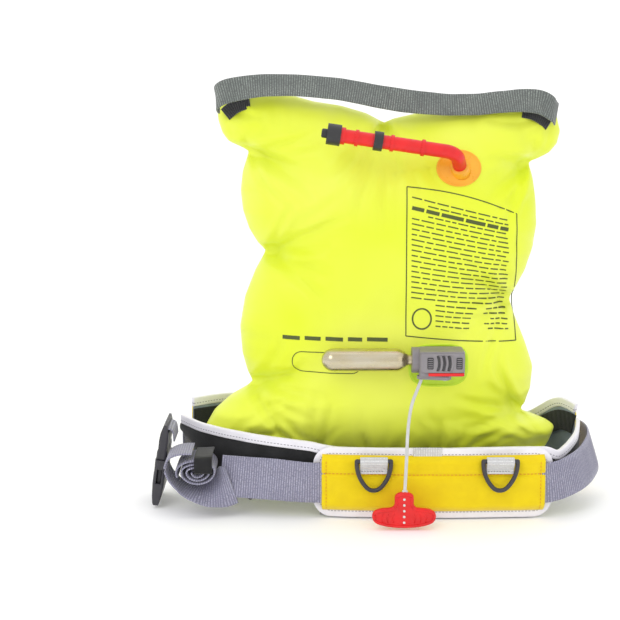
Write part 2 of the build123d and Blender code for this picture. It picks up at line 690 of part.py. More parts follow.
strap("webbing_lower_wrap", [((-198.6, -50, 41), (0, 1, 0)), ((-194, -50, 32), (0, 1, 0)),
                             ((-185, -50, 24), (0, 1, 0)), ((-173, -50, 19), (0, 1, 0)),
                             ((-160, -50, 17), (0, 1, 0)), ((-147, -50, 18.5), (0, 1, 0))])
strap("webbing_upper_wrap", [((-198.2, -50, 50.5), (0, 1, 0)), ((-195, -50, 55.8), (0, 1, 0)),
                             ((-188.5, -50, 59), (0, 1, 0)), ((-181, -50, 60.4), (0, 1, 0)),
                             ((-173, -50, 60.2), (0, 1, 0))])

SLIDER_MID = Vector(-131.6, -48.6, 28.2)
with BuildPart() as webbing_slider:
    with BuildSketch(Plane(origin=SLIDER_MID, z_dir=(0, -1, 0), x_dir=(-0.72, 0, 0.69))):
        RectangleRounded(39.5, 11, 2)
        for row in (-2.6, 2.6):
            with Locations((0, row)):
                Rectangle(34, 2.6, mode=Mode.SUBTRACT)
    extrude(amount=2.4)
finish(webbing_slider, "webbing_slider")

# Local x runs across the buckle (the world's Y), local z along it, from its lower end.
tilt = math.radians(BUCKLE_TILT)
BUCKLE_ORIGIN = Vector(-211.7, -14, 2)
BUCKLE_AXIS = Vector(math.sin(tilt), 0, math.cos(tilt))
buckle = Plane(origin=BUCKLE_ORIGIN, x_dir=(0, 1, 0), z_dir=BUCKLE_AXIS)
buckle_side = Plane(origin=BUCKLE_ORIGIN, x_dir=buckle.y_dir, z_dir=(0, 1, 0))
SHELL = (50.0, 11.0, 44.0)
THROAT = (42.0, 6.6)
BASE = (46.0, 10.0)
BASE_Z = (44.5, 78.0)
PRONG_X = 16.5
PRONG_W, PRONG_T = 7.0, 5.0
PRONG_LOW_Z, PRONG_PIVOT_Z = 19.0, 48.0


def buckle_profile(halves):
    """Cuts a half of the buckle to a side profile: its half thickness at each height."""
    with BuildPart() as region:
        with BuildSketch(buckle_side):
            Polygon(*[(half, z) for half, z in halves], *[(-half, z) for half, z in reversed(halves)],
                    align=None)
        extrude(amount=SHELL[0], both=True)
    add(region.part, mode=Mode.INTERSECT)


with BuildPart() as buckle_socket:
    with BuildSketch(buckle):
        RectangleRounded(SHELL[0], SHELL[1], 3)
    extrude(amount=SHELL[2])
    buckle_profile([(2.2, 0), (3.2, 2), (4.4, 9), (5.5, 22), (5.5, 31), (5.2, 33), (5.2, 38), (5.5, 40),
                    (5.5, 44)])
    with BuildSketch(buckle.offset(12)):
        Rectangle(*THROAT)
    extrude(amount=40, mode=Mode.SUBTRACT)
    with BuildSketch(buckle.offset(21)):
        with Locations((-SHELL[0] / 2, 0), (SHELL[0] / 2, 0)):
            Rectangle(12, PRONG_T)
    extrude(amount=14, mode=Mode.SUBTRACT)
    with BuildSketch(buckle.offset(3.5)):
        Rectangle(40, 20)
    extrude(amount=4.5, mode=Mode.SUBTRACT)
finish(buckle_socket, "buckle_socket")

with BuildPart() as buckle_plug:
    with BuildSketch(buckle.offset(BASE_Z[0])):
        RectangleRounded(BASE[0], BASE[1], 3)
    extrude(amount=BASE_Z[1] - BASE_Z[0])
    buckle_profile([(5.0, 44.5), (5.0, 51), (4.0, 54), (4.3, 62), (3.6, 70), (1.6, 76.5), (1.0, 78)])
    with BuildSketch(buckle.offset(17)):
        Rectangle(9, 5)
    extrude(amount=BASE_Z[0] - 17)
    with BuildSketch(buckle.offset(BASE_Z[1] - 8)):
        Rectangle(40, 20)
    extrude(amount=4.5, mode=Mode.SUBTRACT)
    for sign in (-1, 1):
        with BuildSketch(buckle.offset(BASE_Z[0])):
            with Locations((sign * (PRONG_X - 1), 0)):
                Rectangle(PRONG_W + 5, PRONG_T + 0.8)
        extrude(amount=7.8, mode=Mode.SUBTRACT)
finish(buckle_plug, "buckle_plug")

for side, sign in (("front", -1), ("rear", 1)):
    with BuildPart() as prong:
        with BuildSketch(buckle.offset(PRONG_LOW_Z)):
            with Locations((sign * PRONG_X, 0)):
                RectangleRounded(PRONG_W, PRONG_T, 1.5)
        extrude(amount=PRONG_PIVOT_Z - PRONG_LOW_Z)
        pivot = BUCKLE_ORIGIN + BUCKLE_AXIS * PRONG_PIVOT_Z + Vector(0, sign * PRONG_X, 0)
        with BuildSketch(Plane(origin=pivot, z_dir=buckle.y_dir)):
            Circle(PRONG_W / 2)
        extrude(amount=PRONG_T / 2, both=True)
    finish(prong, f"buckle_prong_{side}")

# The strap's end leaves the slot at the top of the plug and turns down.
strap_end_line = [(-203.5, 73.2), (-198.5, 74.0), (-195.2, 72.4), (-194.0, 68), (-193.6, 62)]
with BuildPart() as strap_end:
    with BuildSketch(front_frame(4)):
        with BuildLine():
            Polyline(*shifted(strap_end_line, 0.7), *reversed(shifted(strap_end_line, -0.7)), close=True)
        make_face()
    extrude(amount=36)
finish(strap_end, "belt_end_upper")
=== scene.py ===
"""Looks of the inflatable belt-pack life jacket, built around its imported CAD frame."""
import math
import random

import bpy
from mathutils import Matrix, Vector
from mathutils import noise as field
from mathutils.bvhtree import BVHTree


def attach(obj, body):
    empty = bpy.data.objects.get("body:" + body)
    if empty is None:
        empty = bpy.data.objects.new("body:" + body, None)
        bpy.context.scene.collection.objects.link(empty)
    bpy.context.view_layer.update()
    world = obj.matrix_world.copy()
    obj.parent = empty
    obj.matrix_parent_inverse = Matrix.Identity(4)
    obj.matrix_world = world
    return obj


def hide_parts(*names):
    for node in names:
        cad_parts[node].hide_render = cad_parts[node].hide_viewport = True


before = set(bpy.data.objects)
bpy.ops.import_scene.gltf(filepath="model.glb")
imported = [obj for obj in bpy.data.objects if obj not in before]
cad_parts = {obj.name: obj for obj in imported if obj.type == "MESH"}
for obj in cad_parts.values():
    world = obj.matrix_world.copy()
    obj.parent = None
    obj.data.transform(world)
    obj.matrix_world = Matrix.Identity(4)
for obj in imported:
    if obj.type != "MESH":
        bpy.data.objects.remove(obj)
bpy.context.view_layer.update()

MM = 0.001

# ---- Camera ----
CAMERA_AIM = Vector((-0.0655, 0.0, 0.1825))
CAMERA_DISTANCE = 1.25
CAMERA_ELEVATION = math.radians(10)
CAMERA_LENS = 76.4


def new_object(name, data):
    made = bpy.data.objects.new(name, data)
    bpy.context.scene.collection.objects.link(made)
    return made


def make_camera():
    data = bpy.data.cameras.new("camera")
    data.lens = CAMERA_LENS
    camera = new_object("camera", data)
    back = Vector((0, -math.cos(CAMERA_ELEVATION), math.sin(CAMERA_ELEVATION)))
    camera.location = CAMERA_AIM + back * CAMERA_DISTANCE
    camera.rotation_euler = back.to_track_quat("Z", "Y").to_euler()
    bpy.context.scene.camera = camera


make_camera()


# ---- Materials ----
RIB_PITCH = 2.2        # mm between the cross ribs of webbing
STITCH_PITCH = 3.2     # mm between the stitches of a tape
WAVE_BANDS = 3.18      # bands that a wave texture of scale 1 draws in one unit


class Shader:
    """A principled material with short helpers for its texture nodes."""

    def __init__(self, name, color, roughness=0.5, metallic=0.0, sheen=0.0, specular=0.5):
        self.mat = bpy.data.materials.new(name)
        self.mat.use_nodes = True
        self.nodes = self.mat.node_tree.nodes
        self.links = self.mat.node_tree.links
        self.bsdf = self.nodes["Principled BSDF"]
        self.set("Base Color", (*color, 1.0))
        self.set("Roughness", roughness)
        self.set("Metallic", metallic)
        self.set("Sheen Weight", sheen)
        self.set("Specular IOR Level", specular)
        self.mat.diffuse_color = (*color, 1.0)
        self.normal = None

    def set(self, socket, value):
        self.bsdf.inputs[socket].default_value = value

    def glow(self, color, strength):
        self.set("Emission Color", (*color, 1.0))
        self.set("Emission Strength", strength)

    def node(self, kind, **inputs):
        made = self.nodes.new(kind)
        for key, value in inputs.items():
            self.feed(made, key.replace("_", " "), value)
        return made

    def feed(self, node, socket, value):
        if isinstance(value, bpy.types.NodeSocket):
            self.links.new(value, node.inputs[socket])
        else:
            node.inputs[socket].default_value = value

    def place(self, scale=(1, 1, 1), uv=False):
        source = self.node("ShaderNodeTexCoord").outputs["UV" if uv else "Object"]
        mapping = self.node("ShaderNodeMapping")
        self.links.new(source, mapping.inputs["Vector"])
        mapping.inputs["Scale"].default_value = scale
        return mapping.outputs["Vector"]

    def noise(self, scale, detail=3.0, stretch=(1, 1, 1)):
        made = self.node("ShaderNodeTexNoise", Vector=self.place(stretch), Scale=scale, Detail=detail)
        return made.outputs["Fac"]

    def wave(self, vector, scale, direction="X"):
        made = self.node("ShaderNodeTexWave", Vector=vector, Scale=scale)
        made.bands_direction = direction
        return made.outputs["Fac"]

    def math(self, operation, a, b=0.0):
        made = self.nodes.new("ShaderNodeMath")
        made.operation = operation
        self.feed(made, 0, a)
        self.feed(made, 1, b)
        return made.outputs[0]

    def spread(self, value, low, high, out_low=0.0, out_high=1.0):
        made = self.node("ShaderNodeMapRange", Value=value, From_Min=low, From_Max=high,
                         To_Min=out_low, To_Max=out_high)
        return made.outputs["Result"]

    def mix(self, factor, a, b):
        made = self.nodes.new("ShaderNodeMix")
        made.data_type = "RGBA"
        self.feed(made, 0, factor)
        for socket, value in ((6, a), (7, b)):
            if isinstance(value, tuple):
                value = (*value, 1.0)
            self.feed(made, socket, value)
        return made.outputs[2]

    def color(self, socket):
        self.links.new(socket, self.bsdf.inputs["Base Color"])

    def roughness(self, socket):
        self.links.new(socket, self.bsdf.inputs["Roughness"])

    def bump(self, height, strength, distance):
        made = self.node("ShaderNodeBump", Height=height, Strength=strength, Distance=distance)
        if self.normal is not None:
            self.links.new(self.normal, made.inputs["Normal"])
        self.normal = made.outputs["Normal"]
        self.links.new(self.normal, self.bsdf.inputs["Normal"])


def coated_fabric(name, color, deep):
    """Taffeta with a welded coating: soft gloss, faint weave, slow colour drift."""
    s = Shader(name, color, 0.42, sheen=0.15, specular=0.35)
    drift = s.spread(s.noise(9.0, 2.0), 0.35, 0.68)
    s.color(s.mix(drift, color, deep))
    s.roughness(s.spread(s.noise(60.0), 0.3, 0.7, 0.36, 0.50))
    s.bump(s.noise(26.0, 3.0, (1, 1, 0.6)), 0.10, 0.004)
    place = s.place()
    weave = s.math("MULTIPLY", s.wave(place, 260.0, "X"), s.wave(place, 260.0, "Z"))
    s.bump(weave, 0.12, 0.0004)
    s.set("Subsurface Weight", 0.06)
    s.set("Subsurface Radius", (0.01, 0.01, 0.002))
    return s.mat


def cloth(name, color, shade, weave=420.0, bump=0.35):
    """Woven cloth: two crossed thread directions, mottled colour."""
    s = Shader(name, color, 0.78, sheen=0.3, specular=0.25)
    place = s.place()
    threads = s.math("ADD", s.wave(place, weave, "X"), s.wave(place, weave * 0.93, "Z"))
    mottle = s.spread(s.noise(85.0, 5.0), 0.32, 0.7)
    fine = s.spread(threads, 0.2, 1.7)
    s.color(s.mix(s.math("MULTIPLY", mottle, fine), shade, color))
    s.bump(threads, bump, 0.0004)
    s.bump(s.noise(38.0, 3.0), 0.12, 0.003)
    return s.mat


def webbing(name, color, light, dark):
    """Webbing: UV x runs along it in metres and UV y across it from 0 to 1."""
    s = Shader(name, color, 0.62, sheen=0.35, specular=0.35)
    uv = s.place(uv=True)
    ribs = s.wave(uv, 1 / (RIB_PITCH * MM) / WAVE_BANDS, "X")
    cords = s.wave(uv, 9.0, "Y")
    flecks = s.spread(s.noise(900.0, 2.0), 0.3, 0.7)
    shade = s.math("MULTIPLY", s.spread(ribs, 0.05, 0.9), flecks)
    tone = s.mix(s.spread(s.noise(45.0, 3.0), 0.35, 0.7), color, light)
    s.color(s.mix(shade, dark, tone))
    s.bump(ribs, 0.5, 0.0005)
    s.bump(cords, 0.25, 0.0003)
    s.bump(s.noise(420.0, 3.0), 0.25, 0.0005)
    return s.mat


def tape(name, color, thread):
    """Binding tape with one dotted row of stitches; UV x in metres, UV y across."""
    s = Shader(name, color, 0.7, sheen=0.3, specular=0.3)
    uv = s.place(uv=True)
    split = s.node("ShaderNodeSeparateXYZ", Vector=uv)
    beat = s.math("FRACT", s.math("MULTIPLY", split.outputs[0], 1 / (STITCH_PITCH * MM)))
    dash = s.math("LESS_THAN", beat, 0.62)
    off = s.math("ABSOLUTE", s.math("SUBTRACT", split.outputs[1], 0.36))
    mask = s.math("MULTIPLY", dash, s.math("LESS_THAN", off, 0.045))
    tone = s.mix(s.spread(s.noise(120.0), 0.3, 0.7), tuple(c * 0.93 for c in color), color)
    s.color(s.mix(mask, tone, thread))
    s.bump(s.wave(uv, 300.0, "X"), 0.15, 0.0002)
    s.bump(mask, 0.6, 0.0006)
    s.bump(s.noise(500.0, 2.0), 0.2, 0.0003)
    return s.mat


def plastic(name, color, roughness=0.35, bump=0.08, glow=0.0):
    """Moulded plastic or rubber: mottled colour and gloss over a fine grain."""
    s = Shader(name, color, roughness)
    shade = tuple(c * 0.82 for c in color)
    s.color(s.mix(s.spread(s.noise(70.0, 4.0), 0.3, 0.7), shade, color))
    s.roughness(s.spread(s.noise(140.0, 4.0), 0.3, 0.7, roughness * 0.8, roughness * 1.25))
    s.bump(s.noise(900.0, 2.0), bump, 0.0005)
    if glow:
        s.glow(color, glow)
    return s.mat


def metal(name, color, second, roughness=0.25):
    """Bright metal, brushed along X, with a second tint."""
    s = Shader(name, color, roughness, metallic=1.0)
    s.color(s.mix(s.spread(s.noise(40.0, 5.0, (0.4, 1, 1)), 0.35, 0.68), color, second))
    s.roughness(s.spread(s.noise(180.0, 4.0, (0.15, 1, 1)), 0.3, 0.7, roughness * 0.7, roughness * 1.5))
    s.bump(s.noise(700.0, 3.0, (0.1, 1, 1)), 0.08, 0.0004)
    return s.mat


BLADDER = coated_fabric("bladder_fabric", (0.80, 0.87, 0.09), (0.74, 0.84, 0.02))
NECK_WEB = webbing("neck_webbing", (0.26, 0.29, 0.27), (0.38, 0.42, 0.38), (0.09, 0.10, 0.095))
NECK_DARK = webbing("neck_webbing_under", (0.06, 0.06, 0.065), (0.10, 0.10, 0.11), (0.02, 0.02, 0.022))
BELT_WEB = webbing("belt_webbing", (0.41, 0.40, 0.53), (0.54, 0.53, 0.67), (0.19, 0.185, 0.26))
WHITE_TAPE = tape("white_binding", (0.86, 0.84, 0.90), (0.36, 0.35, 0.40))
WHITE_WEB = webbing("white_tab_webbing", (0.80, 0.80, 0.80), (0.86, 0.86, 0.86), (0.55, 0.55, 0.56))
BLACK_CLOTH = cloth("black_fabric", (0.022, 0.022, 0.024), (0.006, 0.006, 0.007))
YELLOW_CLOTH = cloth("yellow_fabric", (0.90, 0.70, 0.0), (0.80, 0.59, 0.0), bump=0.25)
LINING = cloth("grey_lining", (0.30, 0.36, 0.40), (0.20, 0.24, 0.28))
HOOK = cloth("hook_strip", (0.014, 0.02, 0.016), (0.004, 0.006, 0.005), weave=300.0, bump=0.9)
ORANGE_THREAD = plastic("orange_thread", (0.80, 0.30, 0.01), 0.6)
RED = plastic("red_plastic", (0.82, 0.010, 0.012), 0.36)
ORANGE = plastic("flange_orange", (0.95, 0.42, 0.02), 0.3, glow=0.03)
LIME = plastic("patch_lime", (0.55, 0.80, 0.02), 0.35)
BLACK = plastic("black_plastic", (0.028, 0.028, 0.03), 0.38)
DARK = plastic("dark_buckle", (0.045, 0.043, 0.052), 0.42, bump=0.15)
GREY = plastic("grey_plastic", (0.27, 0.25, 0.265), 0.42, bump=0.18)
# Dark grey plastic of the inflator's pads, also used as painted shade for the inflator's slots.
DARK_GREY_AND_SLOT_SHADE = plastic("dark_grey_plastic_and_slot_shade", (0.045, 0.043, 0.047), 0.5, bump=0.15)
ZINC = metal("zinc_steel", (0.60, 0.56, 0.46), (0.52, 0.42, 0.22), 0.26)
STEEL = metal("pin_steel", (0.60, 0.60, 0.60), (0.50, 0.50, 0.50))
RUBBER = plastic("gasket_rubber", (0.02, 0.02, 0.02), 0.7)
CORD = cloth("lanyard_cord", (0.86, 0.86, 0.86), (0.66, 0.66, 0.66), weave=900.0, bump=0.5)
PRINT = plastic("print_ink", (0.085, 0.11, 0.02), 0.6)
WHITE_PRINT = plastic("cover_print", (0.85, 0.85, 0.82), 0.6)
PATCH = plastic("dark_plate", (0.075, 0.075, 0.08), 0.55, bump=0.3)

NODE_LOOKS = (
    (RED, ("oral_tube", "status_strip")),
    (BLACK, ("tube_retainer_ring", "valve_seat", "valve_poppet", "dust_cap", "webbing_slider")),
    (GREY, ("manifold_stem", "inflator_body", "pull_lever")),
    (RUBBER, ("manifold_gasket", "cylinder_gasket")),
    (STEEL, ("lever_pin", "piercing_pin")),
    (ZINC, ("gas_cylinder",)),
    (DARK, ("d_ring_left", "d_ring_right", "buckle_socket", "buckle_plug", "buckle_prong_front",
            "buckle_prong_rear")),
)
for look, node_names in NODE_LOOKS:
    for node_name in node_names:
        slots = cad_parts[node_name].data.materials
        slots.clear()
        slots.append(look)


# ---- Mesh helpers ----
UPRIGHT = [(0, 0, 1)]
ACROSS_Y = [(0, 1, 0)]


def mm(x, y, z):
    return Vector((x, y, z)) * MM


def blend(a, b, t):
    return a + (b - a) * t


def noise(x, y, z):
    """Smooth noise between about -1 and 1."""
    return field.noise(Vector((x, y, z)))


def turns(count):
    """The angles of a circle cut into equal steps."""
    return [2 * math.pi * k / count for k in range(count)]


def neighbours(points, i, closed=False):
    """The points before and after point i; at an open end the point itself stands in."""
    n = len(points)
    ahead = points[(i + 1) % n] if closed else points[min(i + 1, n - 1)]
    return points[i - 1] if closed or i else points[0], ahead


def cross_axes(way, steep):
    """Two directions across a way, the first of them level unless the way is steep."""
    axis = Vector((0, 0, 1)) if abs(way.z) < steep else Vector((0, 1, 0))
    across = way.cross(axis).normalized()
    return across, across.cross(way)


def circle(middle, axes, radius, count):
    across, up = axes
    return [(middle + (across * math.cos(a) + up * math.sin(a)) * radius) * MM for a in turns(count)]


def band(rows, size, start=0, closed=False):
    """Faces between rows of points, each row a closed ring of the given size."""
    faces = []
    for i in range(rows if closed else rows - 1):
        a, b = start + i * size, start + (i + 1) % rows * size
        for k in range(size):
            after = (k + 1) % size
            faces.append((a + k, a + after, b + after, b + k))
    return faces


def swept_faces(rows, size, closed):
    """A band with a flat cap on each end, unless it closes on itself."""
    faces = band(rows, size, closed=closed)
    if not closed:
        faces.append(tuple(range(size))[::-1])
        faces.append(tuple(range((rows - 1) * size, rows * size)))
    return faces


def mesh_object(name, verts, faces, look, smooth=True):
    mesh = bpy.data.meshes.new(name)
    mesh.from_pydata([tuple(v) for v in verts], [], faces)
    mesh.validate()
    mesh.materials.append(look)
    mesh.polygons.foreach_set("use_smooth", [smooth] * len(mesh.polygons))
    return new_object(name, mesh)


def piece(name, verts, faces, look, replaced=(), body="jacket", uvs=None, smooth=True):
    """A new object that rides on a body and may stand for CAD nodes."""
    made = mesh_object(name, verts, faces, look, smooth)
    if uvs:
        layer = made.data.uv_layers.new(name="uv")
        for loop in made.data.loops:
            layer.data[loop.index].uv = uvs[loop.vertex_index]
    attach(made, body)
    if replaced:
        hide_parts(*replaced)
    return made


CURVE_STEPS = 16       # short steps that a smooth curve takes between two of its points


def along(points, count, closed=False):
    """Points evenly spaced on a smooth curve through the given ones, and its length."""
    pts = [Vector(p) for p in points]
    n = len(pts)
    dense = []
    for i in range(n if closed else n - 1):
        p1, p2 = pts[i], pts[(i + 1) % n]
        p0 = pts[i - 1] if closed or i else p1 * 2 - p2
        p3 = pts[(i + 2) % n] if closed or i + 2 < n else p2 * 2 - p1
        for k in range(CURVE_STEPS):
            t = k / CURVE_STEPS
            dense.append(0.5 * ((2 * p1) + (p2 - p0) * t + (2 * p0 - 5 * p1 + 4 * p2 - p3) * t * t
                                + (3 * p1 - p0 - 3 * p2 + p3) * t ** 3))
    dense.append(pts[0].copy() if closed else pts[-1].copy())
    lengths = [0.0]
    for a, b in zip(dense, dense[1:]):
        lengths.append(lengths[-1] + (b - a).length)
    out = []
    j = 0
    for k in range(count):
        want = lengths[-1] * k / (count if closed else count - 1)
        while j < len(dense) - 2 and lengths[j + 1] < want:
            j += 1
        step = lengths[j + 1] - lengths[j]
        out.append(dense[j].lerp(dense[j + 1], (want - lengths[j]) / step if step else 0.0))
    return out, lengths[-1]


def sample(values, t):
    """A list of vectors read at a fraction of its length."""
    x = max(0.0, min(1.0, t)) * (len(values) - 1)
    i = min(int(x), len(values) - 2)
    return values[i].lerp(values[i + 1], x - i)


# A strap's flat section, with rounded edges: its upper left quarter, mirrored three times.
QUARTER = [(-0.492, 0.36), (-0.46, 0.5), (-0.3, 0.5), (-0.1, 0.5)]
SECTION = [(-0.5, 0.0)] + QUARTER + [(-a, b) for a, b in reversed(QUARTER)]
SECTION += [(-a, -b) for a, b in SECTION]


def ribbon(name, path, sides, width, thick, look, replaced=(), body="jacket", closed=False,
           step=0.75, rib=0.0, wobble=0.0):
    """A strap, tape or binding: flat section swept along a path, its width along the sides.

    path in mm; sides are directions across the strap, read evenly along it. rib is the height
    in mm of its cross ribs and wobble a slow unevenness.
    """
    count = max(8, int(along(path, 8, closed)[1] / step))
    pts, length = along(path, count, closed)
    ways = [Vector(s).normalized() for s in sides]
    if closed:
        ways.append(ways[0])
    verts, uvs = [], []
    for i, p in enumerate(pts):
        t = i / (count if closed else count - 1)
        behind, ahead = neighbours(pts, i, closed)
        tangent = (ahead - behind).normalized()
        side = sample(ways, t)
        side = (side - tangent * side.dot(tangent)).normalized()
        normal = tangent.cross(side)
        run = length * t
        lift = rib * 0.5 * math.cos(2 * math.pi * run / RIB_PITCH)
        sway = wobble * noise(run * 0.045, len(name), 0.0)
        for a, b in SECTION:
            ribbed = abs(b) > 0.4 and abs(a) < 0.45
            high = b * thick + (lift if b > 0 else -lift) * ribbed
            verts.append((p + side * (a * width) + normal * (high + sway)) * MM)
            uvs.append((run * MM, a + 0.5))
    return piece(name, verts, swept_faces(count, len(SECTION), closed), look, replaced, body, uvs=uvs)


def sheet_solid(name, place, nu, nv, thick, look, replaced=()):
    """A closed sheet: place(u, v) gives the front surface in mm, thick its depth behind it."""
    front = [[Vector(place(i / nu, j / nv)) for j in range(nv + 1)] for i in range(nu + 1)]
    verts, uvs, backs = [], [], []
    for i in range(nu + 1):
        for j in range(nv + 1):
            du = front[min(i + 1, nu)][j] - front[max(i - 1, 0)][j]
            dv = front[i][min(j + 1, nv)] - front[i][max(j - 1, 0)]
            normal = du.cross(dv).normalized()
            verts.append(front[i][j] * MM)
            backs.append((front[i][j] - normal * thick) * MM)
            uvs.append((i / nu, j / nv))
    half = len(verts)

    def at(i, j):
        return i * (nv + 1) + j

    def wall(a, b, flip):
        quad = (b, a, half + a, half + b)
        faces.append(quad[::-1] if flip else quad)

    faces = []
    for i in range(nu):
        for j in range(nv):
            quad = (at(i, j), at(i + 1, j), at(i + 1, j + 1), at(i, j + 1))
            faces.append(quad)
            faces.append(tuple(half + q for q in reversed(quad)))
    for i in range(nu):
        wall(at(i, 0), at(i + 1, 0), False)
        wall(at(i, nv), at(i + 1, nv), True)
    for j in range(nv):
        wall(at(0, j + 1), at(0, j), False)
        wall(at(nu, j + 1), at(nu, j), True)
    return piece(name, verts + backs, faces, look, replaced, uvs=uvs * 2)


def shifted(points, distance):
    """Plan points moved to the left of their direction of travel, as the CAD walls are."""
    moved = []
    for i, (x, y) in enumerate(points):
        behind, ahead = neighbours(points, i)
        dx, dy = ahead[0] - behind[0], ahead[1] - behind[1]
        size = math.hypot(dx, dy)
        moved.append((x - dy / size * distance, y + dx / size * distance))
    return moved


def tube(name, path, radius, look, replaced=(), body="jacket", sides=16, closed=False):
    """A round bar or bead along a list of points in mm; radius may be a function of 0..1."""
    verts = []
    pts = [Vector(p) for p in path]
    for i, p in enumerate(pts):
        behind, ahead = neighbours(pts, i, closed)
        r = radius(i / (len(pts) - 1)) if callable(radius) else radius
        verts += circle(p, cross_axes((ahead - behind).normalized(), 0.9), r, sides)
    return piece(name, verts, swept_faces(len(pts), sides, closed), look, replaced, body)


EDGE_STEPS = 3         # flats that round the edge of a moulded plate


def rounded_shape(name, outline, depth, look, replaced=(), round_mm=1.0, body="jacket"):
    """A moulded plate: an outline in (x, z) given a depth and rounded edges, facing -Y."""
    n = len(outline)
    quarter = [math.pi / 2 * k / EDGE_STEPS for k in range(EDGE_STEPS + 1)]
    profile = [(round_mm * (1 - math.sin(a)), round_mm * (1 - math.cos(a))) for a in quarter]
    profile += [(inset, depth[1] - depth[0] - d) for inset, d in reversed(profile)]
    verts = []
    for inset, d in profile:
        for i, (x, z) in enumerate(outline):
            behind, ahead = neighbours(outline, i, True)
            size = math.hypot(ahead[0] - behind[0], ahead[1] - behind[1])
            tx, tz = (ahead[0] - behind[0]) / size, (ahead[1] - behind[1]) / size
            verts.append(mm(x - tz * inset, depth[0] + d, z + tx * inset))
    faces = band(len(profile), n)
    for first, d in ((0, profile[0][1]), ((len(profile) - 1) * n, profile[-1][1])):
        core = len(verts)
        verts.append(mm(sum(p[0] for p in outline) / n, depth[0] + d, sum(p[1] for p in outline) / n))
        for i in range(n):
            a, b = first + i, first + (i + 1) % n
            faces.append((core, a, b) if first else (core, b, a))
    return piece(name, verts, faces, look, replaced, body)


# ---- Lanyard and pull handle ----
PULLED = "pull_cord_unit"
HANDLE_Y = -98.0
HANDLE_MID_X = 19.0
LANYARD_ROUTE = [
    (35.32, -68.35, 130.7), (32.0, -69.5, 122.0), (26.5, -73.5, 109.5), (23.5, -79.0, 94.0),
    (22.0, -85.5, 77.5), (21.2, -91.0, 60.5), (20.2, -95.5, 45.5), (19.5, HANDLE_Y, 34.9),
]


def make_lanyard():
    curve = bpy.data.curves.new("lanyard_cord", "CURVE")
    curve.dimensions = "3D"
    curve.bevel_depth = 1.5 * MM
    curve.bevel_resolution = 6
    curve.use_fill_caps = True
    curve.resolution_u = 24
    spline = curve.splines.new("NURBS")
    spline.points.add(len(LANYARD_ROUTE) - 1)
    for point, place in zip(spline.points, LANYARD_ROUTE):
        point.co = (*mm(*place), 1.0)
    spline.order_u = 3
    spline.use_endpoint_u = True
    curve.materials.append(CORD)
    cord = new_object("lanyard_cord", curve)
    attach(cord, PULLED)
    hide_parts("lanyard")
    return cord


def round_rect(cx, cz, w, h, r, steps=6):
    """Counter-clockwise outline of a rounded rectangle in (x, z)."""
    out = []
    corners = ((1, -1, -90), (1, 1, 0), (-1, 1, 90), (-1, -1, 180))
    for sx, sz, start in corners:
        for k in range(steps + 1):
            a = math.radians(start + 90 * k / steps)
            out.append((cx + sx * (w / 2 - r) + r * math.cos(a), cz + sz * (h / 2 - r) + r * math.sin(a)))
    return out


STEM_HALF, STEM_TOP, HANDLE_LOW = 8.6, 34.3, 0.8
WING = [(13, 18.6), (22, 17.6), (27.4, 14.8), (28.6, 9.6), (25, 4.2), (14, 1.0), (0, 0)]


def handle_outline(inset=0.0):
    """The pull handle: wings with a bowed lower edge and a round-topped stem."""
    top = STEM_TOP - HANDLE_LOW
    half = [(0, top)] + [(STEM_HALF * math.sin(a), top - 5 + 5 * math.cos(a)) for a in (0.45, 0.9, 1.3)]
    half += [(STEM_HALF, 26.0), (STEM_HALF, 22.5), (STEM_HALF + 1.4, 19.8)] + WING
    full = half + [(-x, z) for x, z in reversed(half[1:-1])]
    smooth, _ = along([(x, 0, z) for x, z in full], 120, closed=True)
    shape = []
    for i in range(len(smooth) - 1, -1, -1):
        behind, ahead = neighbours(smooth, i, True)
        way = ahead - behind
        p = smooth[i] - Vector((-way.z, 0, way.x)).normalized() * inset
        shape.append((HANDLE_MID_X + p.x, HANDLE_LOW + p.z))
    return shape


def make_handle():
    """The handle with a raised rim, a row of dots on its stem, grooves and the cord's knot."""
    front = HANDLE_Y - 2.5
    made = rounded_shape("pull_handle_body", handle_outline(), (front, HANDLE_Y + 2.5), RED,
                         ("pull_handle",), 1.3, PULLED)
    tube("pull_handle_rim", [(x, front, z) for x, z in handle_outline(1.9)], 0.95, RED, body=PULLED,
         closed=True, sides=8)
    for k in range(5):
        z = HANDLE_LOW + 5.5 + 5.4 * k
        tube(f"pull_handle_dot_{k}", [(HANDLE_MID_X, front - 0.6, z), (HANDLE_MID_X, front + 0.2, z)],
             1.15, WHITE_PRINT, body=PULLED, sides=14)
    for letter, side in (("l", -1), ("r", 1)):
        for k in range(3):
            x = HANDLE_MID_X + side * (10.5 + 5.0 * k)
            groove = [(x - 1.6 * side, front + 0.2, 14.6), (x, front - 0.1, 10.2),
                      (x - 1.2 * side, front + 0.2, 5.8)]
            tube(f"pull_handle_groove_{letter}_{k}", groove, 0.5, RED, body=PULLED, sides=8)
    knot = [(HANDLE_MID_X + 0.5 + 1.9 * math.cos(a), HANDLE_Y, 32.6 + 2.6 * math.sin(a)) for a in turns(20)]
    tube("lanyard_knot", knot, 1.3, CORD, body=PULLED, closed=True, sides=10)
    return made


lanyard = make_lanyard()
handle = make_handle()


